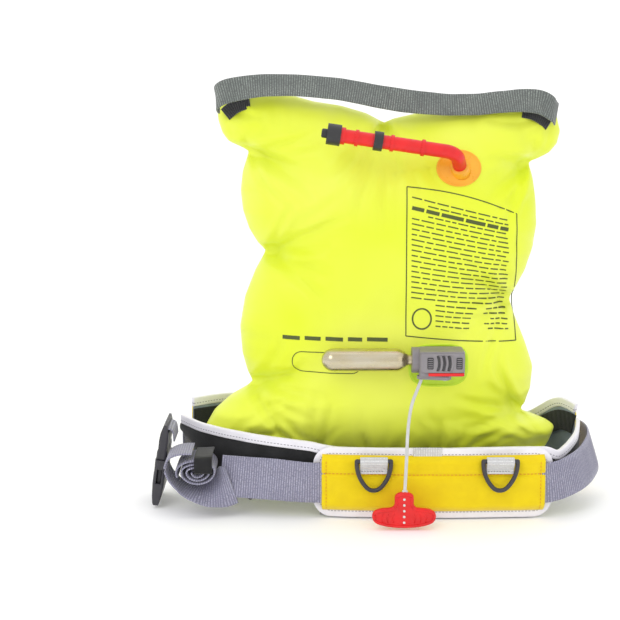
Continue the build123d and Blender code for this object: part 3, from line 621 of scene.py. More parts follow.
# ---- Bladder ----
LEAN, FOOT_Y = 0.1, -2.0     # the bladder's middle plane: y = FOOT_Y + LEAN * z
LEFT_EDGE = [
    (-138, 30), (-158, 42), (-166, 56), (-166, 70), (-158, 84), (-143, 97), (-128, 106), (-121, 112),
    (-126, 122), (-131, 140), (-133, 165), (-128, 194), (-118, 219), (-108, 237), (-116, 245), (-124, 258),
    (-130, 276), (-132, 294), (-130, 312), (-124, 331), (-131, 335), (-143, 340), (-149, 348), (-153, 360),
    (-154, 370), (-148, 381),
]
RIGHT_EDGE = [
    (138, 30), (156, 40), (166, 54), (171, 69), (164, 74), (150, 79), (138, 84), (142, 92), (147, 107),
    (149, 128), (141, 152), (131, 176), (126, 191), (131, 202), (140, 218), (148, 242), (151, 264),
    (150, 286), (147, 306), (143, 321), (152, 324), (162, 329), (170, 338), (173, 350), (169, 366),
    (158, 377),
]
TOP_EDGE = [
    (-148, 381), (-134, 386), (-118, 389), (-104, 388), (-84, 384), (-62, 378), (-36, 374), (-12, 367),
    (5, 358), (14, 362), (32, 366), (62, 373), (98, 381), (132, 386), (148, 383), (158, 377),
]


def read_line(points, key, value, at):
    """The other coordinate of a line of points, read where its key coordinate is at."""
    for a, b in zip(points, points[1:]):
        if a[key] <= at <= b[key]:
            return blend(a[value], b[value], (at - a[key]) / (b[key] - a[key]))
    return points[0][value] if at < points[0][key] else points[-1][value]


# Creases: start on the edge, end inside, depth, width at the edge and at the end.
CREASES = [
    ((-124, 331), (-52, 306), 26, 5, 16), ((-108, 237), (-46, 262), 30, 5, 15),
    ((-108, 237), (-60, 214), 18, 5, 16), ((-121, 112), (-62, 128), 26, 5, 15),
    ((-121, 112), (-92, 78), 14, 5, 14), ((143, 321), (92, 296), 24, 5, 16),
    ((126, 191), (66, 214), 28, 5, 15), ((126, 191), (92, 166), 14, 5, 14),
    ((138, 84), (96, 112), 24, 5, 15), ((5, 358), (0, 318), 24, 5, 16),
    ((-131, 335), (-100, 366), 10, 4, 12), ((152, 324), (128, 362), 10, 4, 12),
    ((-62, 30), (-50, 84), 10, 5, 14), ((44, 30), (48, 78), 9, 5, 13), ((104, 30), (92, 82), 8, 5, 12),
]
# Fans of fine folds: where they start, their heading and spread in degrees, how many, length, depth.
FANS = [
    (-124, 331, -22, 70, 7, 62, 6), (-108, 237, 12, 110, 8, 58, 6.5), (-121, 112, 4, 120, 8, 55, 6.5),
    (143, 321, 205, 80, 7, 58, 6), (126, 191, 178, 120, 8, 56, 6.5), (138, 84, 160, 100, 7, 50, 6),
    (5, 358, -92, 90, 7, 60, 6), (-148, 60, 10, 80, 6, 60, 5), (160, 55, 168, 80, 6, 60, 5),
    (-146, 372, -45, 70, 5, 40, 4.5), (164, 366, 222, 70, 5, 40, 4.5), (-60, 32, 88, 60, 5, 55, 4),
    (60, 32, 92, 60, 5, 55, 4), (0, 32, 90, 50, 4, 45, 3.5),
]
fan_rng = random.Random(7)
FINE = []
for fan_x, fan_z, heading, spread, number, reach, deep in FANS:
    for k in range(number):
        angle = math.radians(heading + spread * (k / (number - 1) - 0.5) + fan_rng.uniform(-7, 7))
        c, s = math.cos(angle), math.sin(angle)
        far = reach * fan_rng.uniform(0.55, 1.25)
        gap = fan_rng.uniform(1, 9)
        FINE.append((fan_x + gap * c, fan_z + gap * s, far * c, far * s, far * far,
                     deep * fan_rng.uniform(0.25, 0.75), fan_rng.uniform(2.6, 4.6),
                     fan_rng.uniform(-6, 6)))


def fine_folds(x, z):
    """Narrow folds with a slight bow, sharp at the bottom and fading along their length."""
    total = 0.0
    for ax, az, dx, dz, span, depth, width, bow in FINE:
        px, pz = x - ax, z - az
        a = (px * dx + pz * dz) / span
        if -0.1 < a < 1.25:
            off = (px * dz - pz * dx) / span ** 0.5 + bow * math.sin(a * 2.5)
            if abs(off) < 4 * width:
                total += depth * math.sin(math.pi * (a + 0.1) / 1.35) ** 0.7 * (
                    math.exp(-abs(off) / width) - 0.5 * math.exp(-(abs(off) / width - 2.2) ** 2))
    return total


def crease_depth(x, z):
    """How far all the creases and fine folds press the face in at this place."""
    total = fine_folds(x, z)
    for (ax, az), (bx, bz), depth, near, far in CREASES:
        dx, dz = bx - ax, bz - az
        span = dx * dx + dz * dz
        a = max(0.0, min(1.35, ((x - ax) * dx + (z - az) * dz) / span))
        off = math.hypot(x - ax - dx * a, z - az - dz * a)
        width = near + (far - near) * a
        fade = max(0.0, 1 - a / 1.35) ** 1.6
        total += depth * fade * math.exp(-(off / width) ** 2)
    return total


# Where a fitting is welded on, the front face is level: x, z, reach and offset from the mid-plane.
FITTINGS = [(71, 318, 27, 53.0), (51, 143, 34, 57.0)]
GIRTH = 56.0           # how far the fullest part stands out from the middle plane


def bladder_point(u, v, face):
    """A point of the skin: u from left to right, v upwards, face -1 in front and 1 behind."""
    zl = blend(LEFT_EDGE[0][1], LEFT_EDGE[-1][1], v)
    zr = blend(RIGHT_EDGE[0][1], RIGHT_EDGE[-1][1], v)
    x = blend(read_line(LEFT_EDGE, 1, 0, zl), read_line(RIGHT_EDGE, 1, 0, zr), u)
    top_z = read_line(TOP_EDGE, 0, 1, blend(TOP_EDGE[0][0], TOP_EDGE[-1][0], u))
    flat_z = blend(TOP_EDGE[0][1], TOP_EDGE[-1][1], u)
    z = blend(zl, zr, u) + (top_z - flat_z) * v ** 3
    across = (1 - abs(2 * u - 1) ** 2.5) ** 0.5
    upward = (1 - abs(2 * v - 1) ** 4.0) ** 0.5
    girth = GIRTH - 7.0 * max(0.0, (v - 0.78) / 0.22) - 8.0 * max(0.0, (0.2 - v) / 0.2)
    high = girth * across * upward
    if high > 0:
        high = max(high * 0.22, high - crease_depth(x, z) * min(1.0, high / 22.0))
        edge = max(0.0, 1 - min(u, 1 - u) / 0.16)
        rim = max(0.0, 1 - min(v, 1 - v) / 0.12)
        pucker = noise(z * 0.085, face * 3.0 + (x > 0) * 9.0, 0.3)
        pucker_top = noise(x * 0.085, face * 5.0 + (z > 200) * 7.0, 4.3)
        high += (5.0 * edge * pucker + 4.2 * rim * pucker_top) * min(1.0, high / 12.0)
        high += 2.6 * noise(x * 0.016, z * 0.019, face * 2.0) * min(1.0, high / 30.0)
        high += noise(x * 0.05, z * 0.04, face * 7.0) * min(1.0, high / 30.0)
        if face < 0:
            for fx, fz, reach, level in FITTINGS:
                near = math.exp(-((x - fx) ** 2 + (z - fz) ** 2) / reach ** 2)
                high += (level - high) * near
    return Vector((x, FOOT_Y + LEAN * z + face * high, z))


def ease(t):
    """Closer steps near the skin's rim."""
    return 0.5 * (t + (1 - math.cos(math.pi * t)) / 2)


def make_bladder():
    nu, nv = 150, 170
    verts, faces = [], []
    index = {}
    for face in (-1, 1):
        for i in range(nu + 1):
            for j in range(nv + 1):
                if face == 1 and (i in (0, nu) or j in (0, nv)):
                    index[(face, i, j)] = index[(-1, i, j)]
                    continue
                index[(face, i, j)] = len(verts)
                verts.append(bladder_point(ease(i / nu), ease(j / nv), face) * MM)
        for i in range(nu):
            for j in range(nv):
                quad = (index[(face, i, j)], index[(face, i + 1, j)], index[(face, i + 1, j + 1)],
                        index[(face, i, j + 1)])
                faces.append(quad if face == -1 else quad[::-1])
    made = piece("bladder_skin", verts, faces, BLADDER, ("bladder",))
    soften = made.modifiers.new("soften", "SMOOTH")
    soften.factor = 0.5
    soften.iterations = 2
    return made


def settle(made):
    """Applies an object's modifiers to its mesh."""
    graph = bpy.context.evaluated_depsgraph_get()
    fresh = bpy.data.meshes.new_from_object(made.evaluated_get(graph))
    made.modifiers.clear()
    made.data = fresh
    return made


bladder = settle(make_bladder())
bladder_tree = BVHTree.FromPolygons([v.co for v in bladder.data.vertices],
                                    [tuple(p.vertices) for p in bladder.data.polygons])


def on_bladder(x, z, lift=0.0):
    """The point of the bladder's front at this x and z, in mm, lifted along its normal."""
    hit, normal, _, _ = bladder_tree.ray_cast(mm(x, -400, z), Vector((0, 1, 0)))
    if hit is None:
        return Vector((x, FOOT_Y + LEAN * z, z))
    if normal.y > 0:
        normal = -normal
    return hit / MM + normal * lift


# ---- Print on the bladder: a frame of blank lines and a rounded window ----
def print_lines(name, lines, place, look, flip=False):
    """Thin inked lines, each as its points, width and whether closed, laid on a surface."""
    verts, faces = [], []
    for points, width, closed in lines:
        start, n = len(verts), len(points)
        for i, (x, z) in enumerate(points):
            (bx, bz), (ax, az) = neighbours(points, i, closed)
            reach = width / 2 / (math.hypot(ax - bx, az - bz) or 1.0)
            for sign in (-1, 1):
                verts.append(place(x - (az - bz) * reach * sign, z + (ax - bx) * reach * sign) * MM)
        for i in range(n if closed else n - 1):
            a, b = start + 2 * i, start + 2 * ((i + 1) % n)
            faces.append((a, a + 1, b + 1, b) if flip else (a, b, b + 1, a + 1))
    return piece(name, verts, faces, look, smooth=False)


def stroke(a, b, pieces):
    """A straight line from a to b, cut into pieces so that it can follow a surface."""
    return [(blend(a[0], b[0], k / pieces), blend(a[1], b[1], k / pieces)) for k in range(pieces + 1)]


TEXT_ROWS, HEAVY_ROW, FOOT_ROW = 25, 2, 19
SHORT_ROWS = (1, 3)


def text_block(rng):
    """Rows of broken bars, which stand for a label's text, with a gap beside the ring."""
    lines = []
    for row in range(TEXT_ROWS):
        t = (row + 1.2) / (TEXT_ROWS + 1.6)
        heavy = row == HEAVY_ROW
        left, right = (28.0 - 0.6 * t, blend(298, 170, t)), (120 + 2.4 * t, blend(274, 161, t))
        if row in SHORT_ROWS or row > FOOT_ROW:
            inset = 0.24 if row > FOOT_ROW else 0.16
            left = (blend(left[0], right[0], inset), blend(left[1], right[1], inset))
        at = 0.0
        while at < 0.97:
            word = rng.uniform(0.05, 0.13) * (1.8 if heavy else 1.0)
            end = min(0.985, at + word)
            bar = stroke(*[(blend(left[0], right[0], s), blend(left[1], right[1], s)) for s in (at, end)], 3)
            if not (row > FOOT_ROW and 0.42 < at < 0.62):
                lines.append((bar, 3.4 if heavy else 1.15, False))
            at = end + 0.022
    return lines


def make_print():
    lines = []
    corners = [(23.3, 301.5), (127, 275), (129, 155.5), (22.8, 165.5)]
    for k, (a, b) in enumerate(zip(corners, corners[1:] + corners[:1])):
        side = stroke(a, b, 24)
        if k == 0:
            side = [(x, z + 5 * math.sin(math.pi * q / 24)) for q, (x, z) in enumerate(side)]
        lines.append((side, 1.0, False))
    rng = random.Random(5)
    lines += text_block(rng)
    lines.append(([(37.5 + 8.6 * math.cos(a), 181 + 9.2 * math.sin(a)) for a in turns(30)], 1.5, True))
    pill = round_rect(-50, 140.0, 64, 19, 9.0, 8)
    for a, b in zip(pill, pill[1:] + pill[:1]):
        lines.append((stroke(a, b, 14 if math.dist(a, b) > 10 else 1), 0.8, False))
    at = -91.0
    while at < 2:
        width = rng.uniform(12, 22)
        lines.append((stroke((at, 162.5), (min(at + width, 6), 162.1), 4), 3.6, False))
        at += width + 4.5
    print_lines("bladder_print", lines, lambda x, z: on_bladder(x, z, 0.22), PRINT)


make_print()


# ---- Weld flanges and patches that follow the bladder ----
# From a patch's rim to its middle: share of its size, and height as a share of its thickness.
PATCH_RINGS = [
    (1.0, -0.6), (1.0, 0.5), (0.985, 0.85), (0.96, 1.0), (0.93, 1.0), (0.90, 0.7), (0.86, 0.55),
    (0.75, 0.5), (0.6, 0.5), (0.4, 0.5), (0.2, 0.5),
]
PATCH_STEPS, PATCH_LIFT = 64, 0.25


def weld_patch(name, cx, cz, rx, rz, power, thick, look, replaced):
    """A welded patch with a super-oval outline and a raised rim, laid on the bladder."""
    verts = []
    for share, lift in PATCH_RINGS:
        for angle in turns(PATCH_STEPS):
            c, s = math.cos(angle), math.sin(angle)
            r = (abs(c) ** power + abs(s) ** power) ** (-1 / power) * share
            verts.append(on_bladder(cx + rx * r * c, cz + rz * r * s, PATCH_LIFT + lift * thick) * MM)
    faces = band(len(PATCH_RINGS), PATCH_STEPS)
    core = len(verts)
    verts.append(on_bladder(cx, cz, PATCH_LIFT + PATCH_RINGS[-1][1] * thick) * MM)
    last = core - PATCH_STEPS
    faces += [(last + k, last + (k + 1) % PATCH_STEPS, core) for k in range(PATCH_STEPS)]
    return piece(name, verts, faces, look, replaced)


weld_patch("inflator_weld_patch", 53.0, 138.5, 27.5, 19.5, 3.2, 1.6, LIME, ("inflator_patch",))
weld_patch("oral_weld_flange", 71.0, 318.0, 20.5, 16.5, 2.0, 1.4, ORANGE, ("oral_flange",))
# The raised collar of the flange, which the oral tube is fixed in.
ORAL_FOOT = Vector((72, -23, 318))
ORAL_OUT = Vector((-6, -23, 15.5)).normalized()
tube("oral_flange_collar", [ORAL_FOOT + ORAL_OUT * out for out in (-6.0, -1.0, 3.5, 5.2)],
     lambda share: 9.8 - 1.8 * share, ORANGE, sides=32)


# ---- Neck strap ----
NECK_PATH = [
    (-151, 21, 376), (-152, 14, 381.5), (-144, 9.5, 387), (-126, 9.5, 391), (-100, 9.5, 393),
    (-72, 9.5, 392.5), (-33, 9.0, 388.5), (-4, 8.5, 383), (25, 8.0, 378.5), (56, 8.5, 375.5),
    (88, 9.0, 375.5), (112, 9.5, 377.5), (134, 10, 379), (150, 10.5, 377), (161, 13, 371), (166, 20, 366),
]
NECK_SIDES = [
    (-0.1, 0.3, 1), (0, 0.4, 1), (0, 0.6, 1), (0, 0.7, 1), (0, 0.7, 1), (0, 0.66, 1), (0, 0.6, 1),
    (0, 0.5, 1), (0, 0.6, 1), (0, 0.75, 1), (0, 0.75, 1), (0, 0.7, 1), (0, 0.4, 1), (0.1, 0.3, 1),
]
ribbon("neck_strap_webbing", NECK_PATH, NECK_SIDES, 24.0, 1.7, NECK_WEB, ("neck_strap",), rib=0.35,
       wobble=1.0)
# Their sewn ends lie on the bladder's corners.
TAILS = {"left": [(-122, 377), (-130, 375), (-138, 371), (-145, 365)],
         "right": [(134, 369), (143, 367), (152, 362), (159, 356)]}
for side, spots in TAILS.items():
    ribbon(f"neck_strap_tail_{side}", [on_bladder(x, z, 1.2) for x, z in spots], [(0, 0.5, 1)], 15.0,
           1.5, NECK_DARK, (f"neck_strap_end_{side}",), rib=0.35)


# ---- Pouch ----
FRONT_LINE = [
    (-190, 14), (-165, -17), (-120, -44), (-62, -59), (-7, -64.2), (48, -66), (103, -64.2), (157, -59),
    (180, -38), (190, -14), (193, 4),
]
COVER_LINE = [(-180, 24), (-145, 46), (-80, 63), (10, 70), (100, 63), (165, 40), (192, 10)]
# Heights in the front view, by x: the upper and lower edges of panel and cover.
PANEL_TOP = [
    (-200, 69), (-155, 67), (-110, 64.5), (-62, 61), (-40, 57.5), (50, 57.4), (145, 57.5), (160, 53),
    (168, 53.5), (180, 60), (198, 70),
]
PANEL_LOW = [
    (-200, 69), (-180, 52), (-168, 38), (-150, 25), (-120, 17), (-62, 15), (-52, 12), (-43, 0.3),
    (138, 0.3), (147, 12), (158, 17), (172, 21), (188, 30), (198, 36),
]
COVER_TOP = [
    (-200, 82), (-150, 82), (-80, 78), (60, 70), (120, 60), (147, 60), (165, 71), (181, 82), (200, 76),
]
COVER_LOW = [(-200, 0.0), (200, 0.0)]


def height_line(points):
    """A smooth height read from front-view points by x."""
    fine = [(p.x, p.y) for p in along([(x, z, 0) for x, z in points], 200)[0]]
    return lambda x: read_line(fine, 0, 1, x)


panel_top, cover_top = height_line(PANEL_TOP), height_line(COVER_TOP)


def plan_curve(points, distance, count=160):
    """Points evenly spaced on a smooth plan line, moved sideways by the distance."""
    return along([(x, y, 0) for x, y in shifted(points, distance)], count)[0]


def panel_surface(points, distance, low, high, swell, ripple, seed=0.0):
    """A surface function: u along a plan line, v upwards, with a padded swell and ripples."""
    base = plan_curve(points, distance, 240)

    def place(u, v):
        p = sample(base, u)
        a = sample(base, min(1.0, u + 0.01)) - sample(base, max(0.0, u - 0.01))
        out = Vector((a.y, -a.x, 0)).normalized()
        z = blend(read_line(low, 0, 1, p.x), high(p.x), v)
        puff = swell * (1 - abs(2 * v - 1) ** 3) + ripple * noise(p.x * 0.03, z * 0.05, seed)
        return p + out * puff + Vector((0, 0, z))
    return place


back_panel = sheet_solid("back_panel_pad", panel_surface(FRONT_LINE, -1.0, PANEL_LOW, panel_top, 1.2, 1.6),
                         190, 20, 3.0, BLACK_CLOTH, ("back_panel",))


def edge_path(points, distance, height, rise, count=40):
    """A plan line raised to a height read by x, plus a rise."""
    return [(p.x, p.y, height(p.x) + rise) for p in plan_curve(points, distance, count)]


ribbon("back_panel_tape", edge_path(FRONT_LINE, 0, panel_top, 4.0), UPRIGHT, 8.8, 3.6, WHITE_TAPE,
       ("back_panel_binding",), step=1.5, wobble=0.7)

# The yellow sleeve, its backing and its white frame.
SLEEVE_X, SLEEVE_Z, TAPE_W = (-62.0, 157.0), (0.4, 66.6), 9.0
BACK_INSET, FACE_INSET = 7.0, 8.5
FACE_LOW, FACE_TALL = 7.0, 53.0
front_curve = plan_curve(FRONT_LINE, 0.0, 600)


def on_front(x, z, out):
    """A point over the black panel at this x, a distance in front of it, in mm."""
    best = min(range(len(front_curve)), key=lambda i: abs(front_curve[i].x - x))
    a = front_curve[min(best + 2, len(front_curve) - 1)] - front_curve[max(best - 2, 0)]
    normal = Vector((a.y, -a.x, 0)).normalized()
    return Vector((x, front_curve[best].y, z)) + normal * out


def backing_place(u, v):
    x = blend(SLEEVE_X[0] + BACK_INSET, SLEEVE_X[1] - BACK_INSET, u)
    return on_front(x, blend(SLEEVE_Z[0] + BACK_INSET, SLEEVE_Z[1] - BACK_INSET, v), 4.2)


def sleeve_place(u, v):
    """The sleeve's face: it stands off the belt, with a sewn seam and shallow wrinkles."""
    x = blend(SLEEVE_X[0] + FACE_INSET, SLEEVE_X[1] - FACE_INSET, u)
    z = FACE_LOW + FACE_TALL * v
    edge = min(1.0, min(v, 1 - v) / 0.13)
    side = min(1.0, min(u, 1 - u) / 0.05)
    out = 5.4 + 4.9 * math.sin(edge * math.pi / 2) * (0.92 + 0.08 * side)
    seam = math.exp(-((z - 42.5) / 1.3) ** 2) * 0.9
    wrinkle = noise(x * 0.045, z * 0.06, 2.0) * edge
    wrinkle += 0.7 * noise(x * 0.12, z * 0.03, 6.0) * edge * math.exp(-((z - 52) / 12) ** 2)
    return on_front(x, z, out + wrinkle - seam)


sleeve_back = sheet_solid("sleeve_backing_cloth", backing_place, 60, 12, 1.2, YELLOW_CLOTH,
                          ("sleeve_backing",))
sleeve = sheet_solid("sleeve_face_cloth", sleeve_place, 190, 56, 1.1, YELLOW_CLOTH, ("sleeve_face",))


# A stitch along its length, and as a share of the thread's radius.
STITCH_SHAPE = ((0.0, 0.25), (0.2, 0.9), (0.8, 0.9), (1.0, 0.25))
STITCH_SIDES = 6


def stitches(name, path, gap, length, look, radius=0.32):
    """A row of raised thread stitches along points in mm."""
    pts, total = along(path, 400)
    verts, faces = [], []
    step = gap + length
    for k in range(int(total / step)):
        a = sample(pts, k * step / total)
        b = sample(pts, (k * step + length) / total)
        axes = cross_axes((b - a).normalized(), 0.8)
        faces += band(len(STITCH_SHAPE), STITCH_SIDES, len(verts))
        for at, r in STITCH_SHAPE:
            verts += circle(a.lerp(b, at), axes, radius * r, STITCH_SIDES)
    return piece(name, verts, faces, look)


def on_sleeve(x, z, lift):
    """A point of the sleeve's face, lifted off it."""
    u = (x - SLEEVE_X[0] - FACE_INSET) / (SLEEVE_X[1] - SLEEVE_X[0] - 2 * FACE_INSET)
    normal = (on_front(x, z, 1.0) - on_front(x, z, 0.0)).normalized()
    return sleeve_place(u, (z - FACE_LOW) / FACE_TALL) + normal * lift


stitches("sleeve_seam", [on_sleeve(blend(-51, 146, k / 49), 43.0, 0.25) for k in range(50)], 1.1, 2.4,
         ORANGE_THREAD, 0.42)
for k, x in enumerate((-49.5, 144.5)):
    stitches(f"sleeve_bar_{k}", [on_sleeve(x, 9 + 3.0 * q, 0.3) for q in range(17)], 1.2, 2.2,
             ORANGE_THREAD)


def sleeve_rim():
    """The frame's middle line in short steps, each with a direction towards its outside."""
    frame_line = round_rect(sum(SLEEVE_X) / 2, sum(SLEEVE_Z) / 2, SLEEVE_X[1] - SLEEVE_X[0] - TAPE_W,
                            SLEEVE_Z[1] - SLEEVE_Z[0] - TAPE_W, 12.5, 8)
    points = []
    for a, b in zip(frame_line, frame_line[1:] + frame_line[:1]):
        points += stroke(a, b, max(1, int(math.dist(a, b) / 5)))[:-1]
    out = []
    for i, (x, z) in enumerate(points):
        (bx, bz), (ax, az) = neighbours(points, i, True)
        size = math.hypot(ax - bx, az - bz)
        here = on_front(x, z, 3.9)
        out.append((here, on_front(x + (az - bz) / size, z - (ax - bx) / size, 3.9) - here))
    return out


rim = sleeve_rim()
ribbon("sleeve_tape", [p for p, _ in rim], [way for _, way in rim], TAPE_W, 2.2, WHITE_TAPE,
       ("sleeve_binding",), closed=True, step=1.4, wobble=0.25)
ribbon("sleeve_tape_join", [on_front(29.0 + 2.6 * k, 62.3, 5.4) for k in range(11)], UPRIGHT, 10.6, 0.9,
       WHITE_WEB, step=1.0)

# Folded tabs of white webbing that hold the D-rings: (y, z) from the back, round the bar, down in front.
TAB_FOLD = [
    (-78.1, 45.0), (-78.6, 50.0), (-81.0, 53.2), (-82.5, 55.6), (-82.6, 57.4), (-81.7, 59.3), (-79.4, 60.1),
    (-77.0, 59.3), (-76.2, 57.0), (-76.0, 52.0), (-75.9, 44.8),
]
for side, ring_x in (("left", -7.5), ("right", 107.5)):
    ribbon(f"d_ring_tab_{side}_webbing", [(ring_x, y, z) for y, z in TAB_FOLD], [(1, 0, 0)], 25.0, 1.3,
           WHITE_WEB, (f"d_ring_tab_{side}",), rib=0.2, step=0.5)
    row = [(ring_x - 11.5 + 2.3 * q, -79.6, 47.8) for q in range(11)]
    stitches(f"d_ring_tab_{side}_stitch", row, 0.9, 1.7, PATCH, 0.25)


# ---- Belt ----
# From the buckle the strap sags under the roll, turning to face forward up to a diagonal fold.
LOWER = [
    ((-199, -50, 43), (0, 1, 0)), ((-194.5, -50, 33.5), (0, 1, 0)), ((-185, -51, 25), (0, 1, 0)),
    ((-170, -54, 21.5), (0, 0.97, 0.25)), ((-160, -55.5, 22), (0, 0.85, 0.52)),
    ((-150, -58.5, 25.5), (-0.15, 0.6, 0.78)), ((-142.5, -62, 28.5), (-0.5, 0.2, 0.85)),
    ((-138, -63.5, 30), (-0.66, 0.05, 0.75)),
]
# From behind the fold it runs through the sleeve and bends round the open right end to the back.
BELT = [
    ((-148, -55.5, 36.5), (0, 0.3, 0.95)), ((-124, -58.5, 35.5), (0, 0.3, 0.95)),
    ((-100, -62, 34.8), (0, 0.25, 0.97)), ((-80, -66, 34), (0, 0.1, 1)), ((-62, -68.5, 33.5), (0, 0, 1)),
    ((-7, -71.6, 33.5), (0, 0, 1)), ((48, -73.2, 33.5), (0, 0, 1)), ((103, -71.8, 33.5), (0, 0, 1)),
    ((130, -71.2, 33.5), (0, 0, 1)), ((150, -69.4, 33.5), (0, 0, 1)), ((160, -67.2, 34.5), (0, 0, 1)),
    ((170, -62.4, 36.5), (-0.03, 0.05, 1)), ((184, -51.5, 40), (-0.08, 0.15, 0.98)),
    ((196, -35, 43.5), (-0.15, 0.2, 0.96)), ((205, -14, 47.5), (-0.26, 0.12, 0.95)),
    ((208, 8, 50), (-0.32, -0.05, 0.94)), ((202.5, 28, 50.5), (-0.24, -0.14, 0.95)),
    ((189, 43, 48), (-0.1, -0.1, 0.99)), ((168, 53.6, 45), (0, 0, 1)),
]


def even_sides(stations, count=90):
    """The stations' sideways directions, read at even steps along the smooth path."""
    places = [Vector(p) for p, _ in stations]
    runs = [0.0]
    for k in range(1, len(places)):
        runs.append(runs[-1] + (places[k] - places[k - 1]).length)
    sides = []
    for i in range(count):
        at = runs[-1] * i / (count - 1)
        k = max(j for j in range(len(runs) - 1) if runs[j] <= at)
        t = (at - runs[k]) / (runs[k + 1] - runs[k])
        sides.append(Vector(stations[k][1]).lerp(Vector(stations[k + 1][1]), t))
    return sides


BELT_WIDE, BELT_THICK = 38.0, 1.7


def belt_run(name, path, sides, replaced, rib=0.35, **kept):
    return ribbon(name, path, sides, BELT_WIDE, BELT_THICK, BELT_WEB, replaced, rib=rib, **kept)


belt_run("belt_webbing_front", [p for p, _ in BELT], even_sides(BELT), ("belt_front", "belt_side"), 0.4,
         wobble=0.5)
belt_run("webbing_lower_loop", [p for p, _ in LOWER], even_sides(LOWER), ("webbing_lower_wrap",), 0.4,
         wobble=0.3)
BACK = [(166, 54.5), (100, 72), (10, 82.2), (-80, 73.5), (-150, 55), (-178, 40), (-190, 20)]
belt_run("belt_webbing_back", [(x, y, 45.0) for x, y in BACK], UPRIGHT, ("belt_back",), 0.4, wobble=0.4,
         step=0.9)


# ---- Opened cover behind the bladder ----
def cover_sheet(name, distance, thick, look, replaced):
    place = panel_surface(COVER_LINE, distance, COVER_LOW, cover_top, 0.0, 0.9, 3.0)
    return sheet_solid(name, place, 160, 22, thick, look, replaced)


cover_panel = cover_sheet("cover_panel_cloth", 0.9, 1.5, YELLOW_CLOTH, ("cover_panel",))
cover_lining = cover_sheet("cover_lining_cloth", -0.7, 1.2, LINING, ("cover_lining",))
ribbon("cover_tape", edge_path(COVER_LINE, 0.9, cover_top, 4.4), UPRIGHT, 9.0, 4.2, WHITE_TAPE,
       ("cover_binding",), step=1.5, wobble=0.8)
for side, ends in (("left", COVER_LINE[:2]), ("right", COVER_LINE[-2:])):
    ribbon(f"hook_strip_{side}_cloth", edge_path(ends, -1.7, cover_top, -12.0, 12), UPRIGHT, 20.0, 1.5, HOOK,
           (f"hook_strip_{side}",), step=1.0)
patch_line = [(p.x, p.y, 49.0) for p in plan_curve([(-80, 63), (10, 70), (100, 63)], 3.9, 60)]
ribbon("cover_label_patch", patch_line, UPRIGHT, 14.0, 1.0, PATCH, ("cover_patch",), step=1.2)


MOTIFS = 9


def cover_print():
    """A repeating motif of open ovals and crossed sticks on the cover's outer face."""
    base = plan_curve(COVER_LINE, 2.6, 500)
    length = sum((b - a).length for a, b in zip(base, base[1:]))

    def place(run, z):
        t = max(0.0, min(1.0, run / length))
        a = sample(base, min(1.0, t + 0.004)) - sample(base, max(0.0, t - 0.004))
        return sample(base, t) + Vector((-a.y, a.x, 0)).normalized() * 1.07 + Vector((0, 0, z))

    lines = []
    rng = random.Random(3)
    for k in range(MOTIFS):
        run = length * (k + 0.6) / MOTIFS
        z = 54 if k % 2 else 26
        turn = math.radians(rng.uniform(-35, 35) + 90)
        c, s = math.cos(turn), math.sin(turn)
        hull = [(19 * math.cos(a), 6.2 * math.sin(a) * (1 - 0.25 * abs(math.cos(a)))) for a in turns(36)]
        seat = [(4 * math.cos(a), 3 * math.sin(a)) for a in turns(16)]
        shapes = [(hull, 1.1, True), (seat, 0.9, True)]
        for sign in (-1, 1):
            shapes.append(([(-13 * sign * t, 15 * t) for t in [q / 6 - 0.5 for q in range(7)]], 1.0, False))
        for points, width, closed in shapes:
            spun = [(run + r * c - h * s, z + r * s + h * c) for r, h in points]
            lines.append((spun, width, closed))
    print_lines("cover_motif", lines, place, WHITE_PRINT, flip=True)


cover_print()
cover_curve = [(p.x, p.y - 0.8) for p in plan_curve(COVER_LINE, -0.7, 200)]


def floor_place(u, v):
    """The pouch's inner bottom, from the panel's lower edge back to the cover's."""
    x = -56.0 + 204.0 * u
    y = blend(on_front(x, 1.6, -2.4).y, read_line(cover_curve, 0, 1, x), v)
    return Vector((x, y, 1.4 + 0.5 * noise(x * 0.03, v * 3, 8.0)))


sheet_solid("pouch_bottom_cloth", floor_place, 60, 24, 0.9, BLACK_CLOTH)


# ---- Left end: rolled spare webbing, keeper, loops round the buckle ----
ROLL_MID_Y = -50.0
ROLL_STEPS, ROLL_TURNS = 150, 3.1


def roll_path():
    """A spiral of strap in the X-Z plane, flattened, three turns from the outside in."""
    pts = []
    for k in range(ROLL_STEPS):
        t = k / (ROLL_STEPS - 1)
        angle = math.radians(200) - 2 * math.pi * ROLL_TURNS * t
        size = 1 - 0.80 * t
        sag = 0.8 * math.sin(angle * 2 + 0.6)
        pts.append((-170.0 + (18.6 * size + 0.5) * math.cos(angle) + sag * 0.5, ROLL_MID_Y,
                    42.2 + (12.4 * size + 0.2) * math.sin(angle) + sag * 0.4))
    return pts


belt_run("webbing_roll_strap", roll_path(), ACROSS_Y, ("webbing_roll",), step=0.8)
# The keeper's band over the roll, as (y, z) from front to back.
KEEPER = [
    (-70.4, 42.5), (-70.8, 47), (-70.2, 53), (-67, 56.6), (-58, 57.2), (-42, 57.2), (-33, 56.6),
    (-29.8, 53), (-29.2, 47), (-29.6, 42.5),
]
ribbon("webbing_keeper_band", [(-163.5, y, z) for y, z in KEEPER], [(1, 0, 0.05)], 16.5, 1.3, BLACK_CLOTH,
       ("webbing_keeper",), step=1.2)
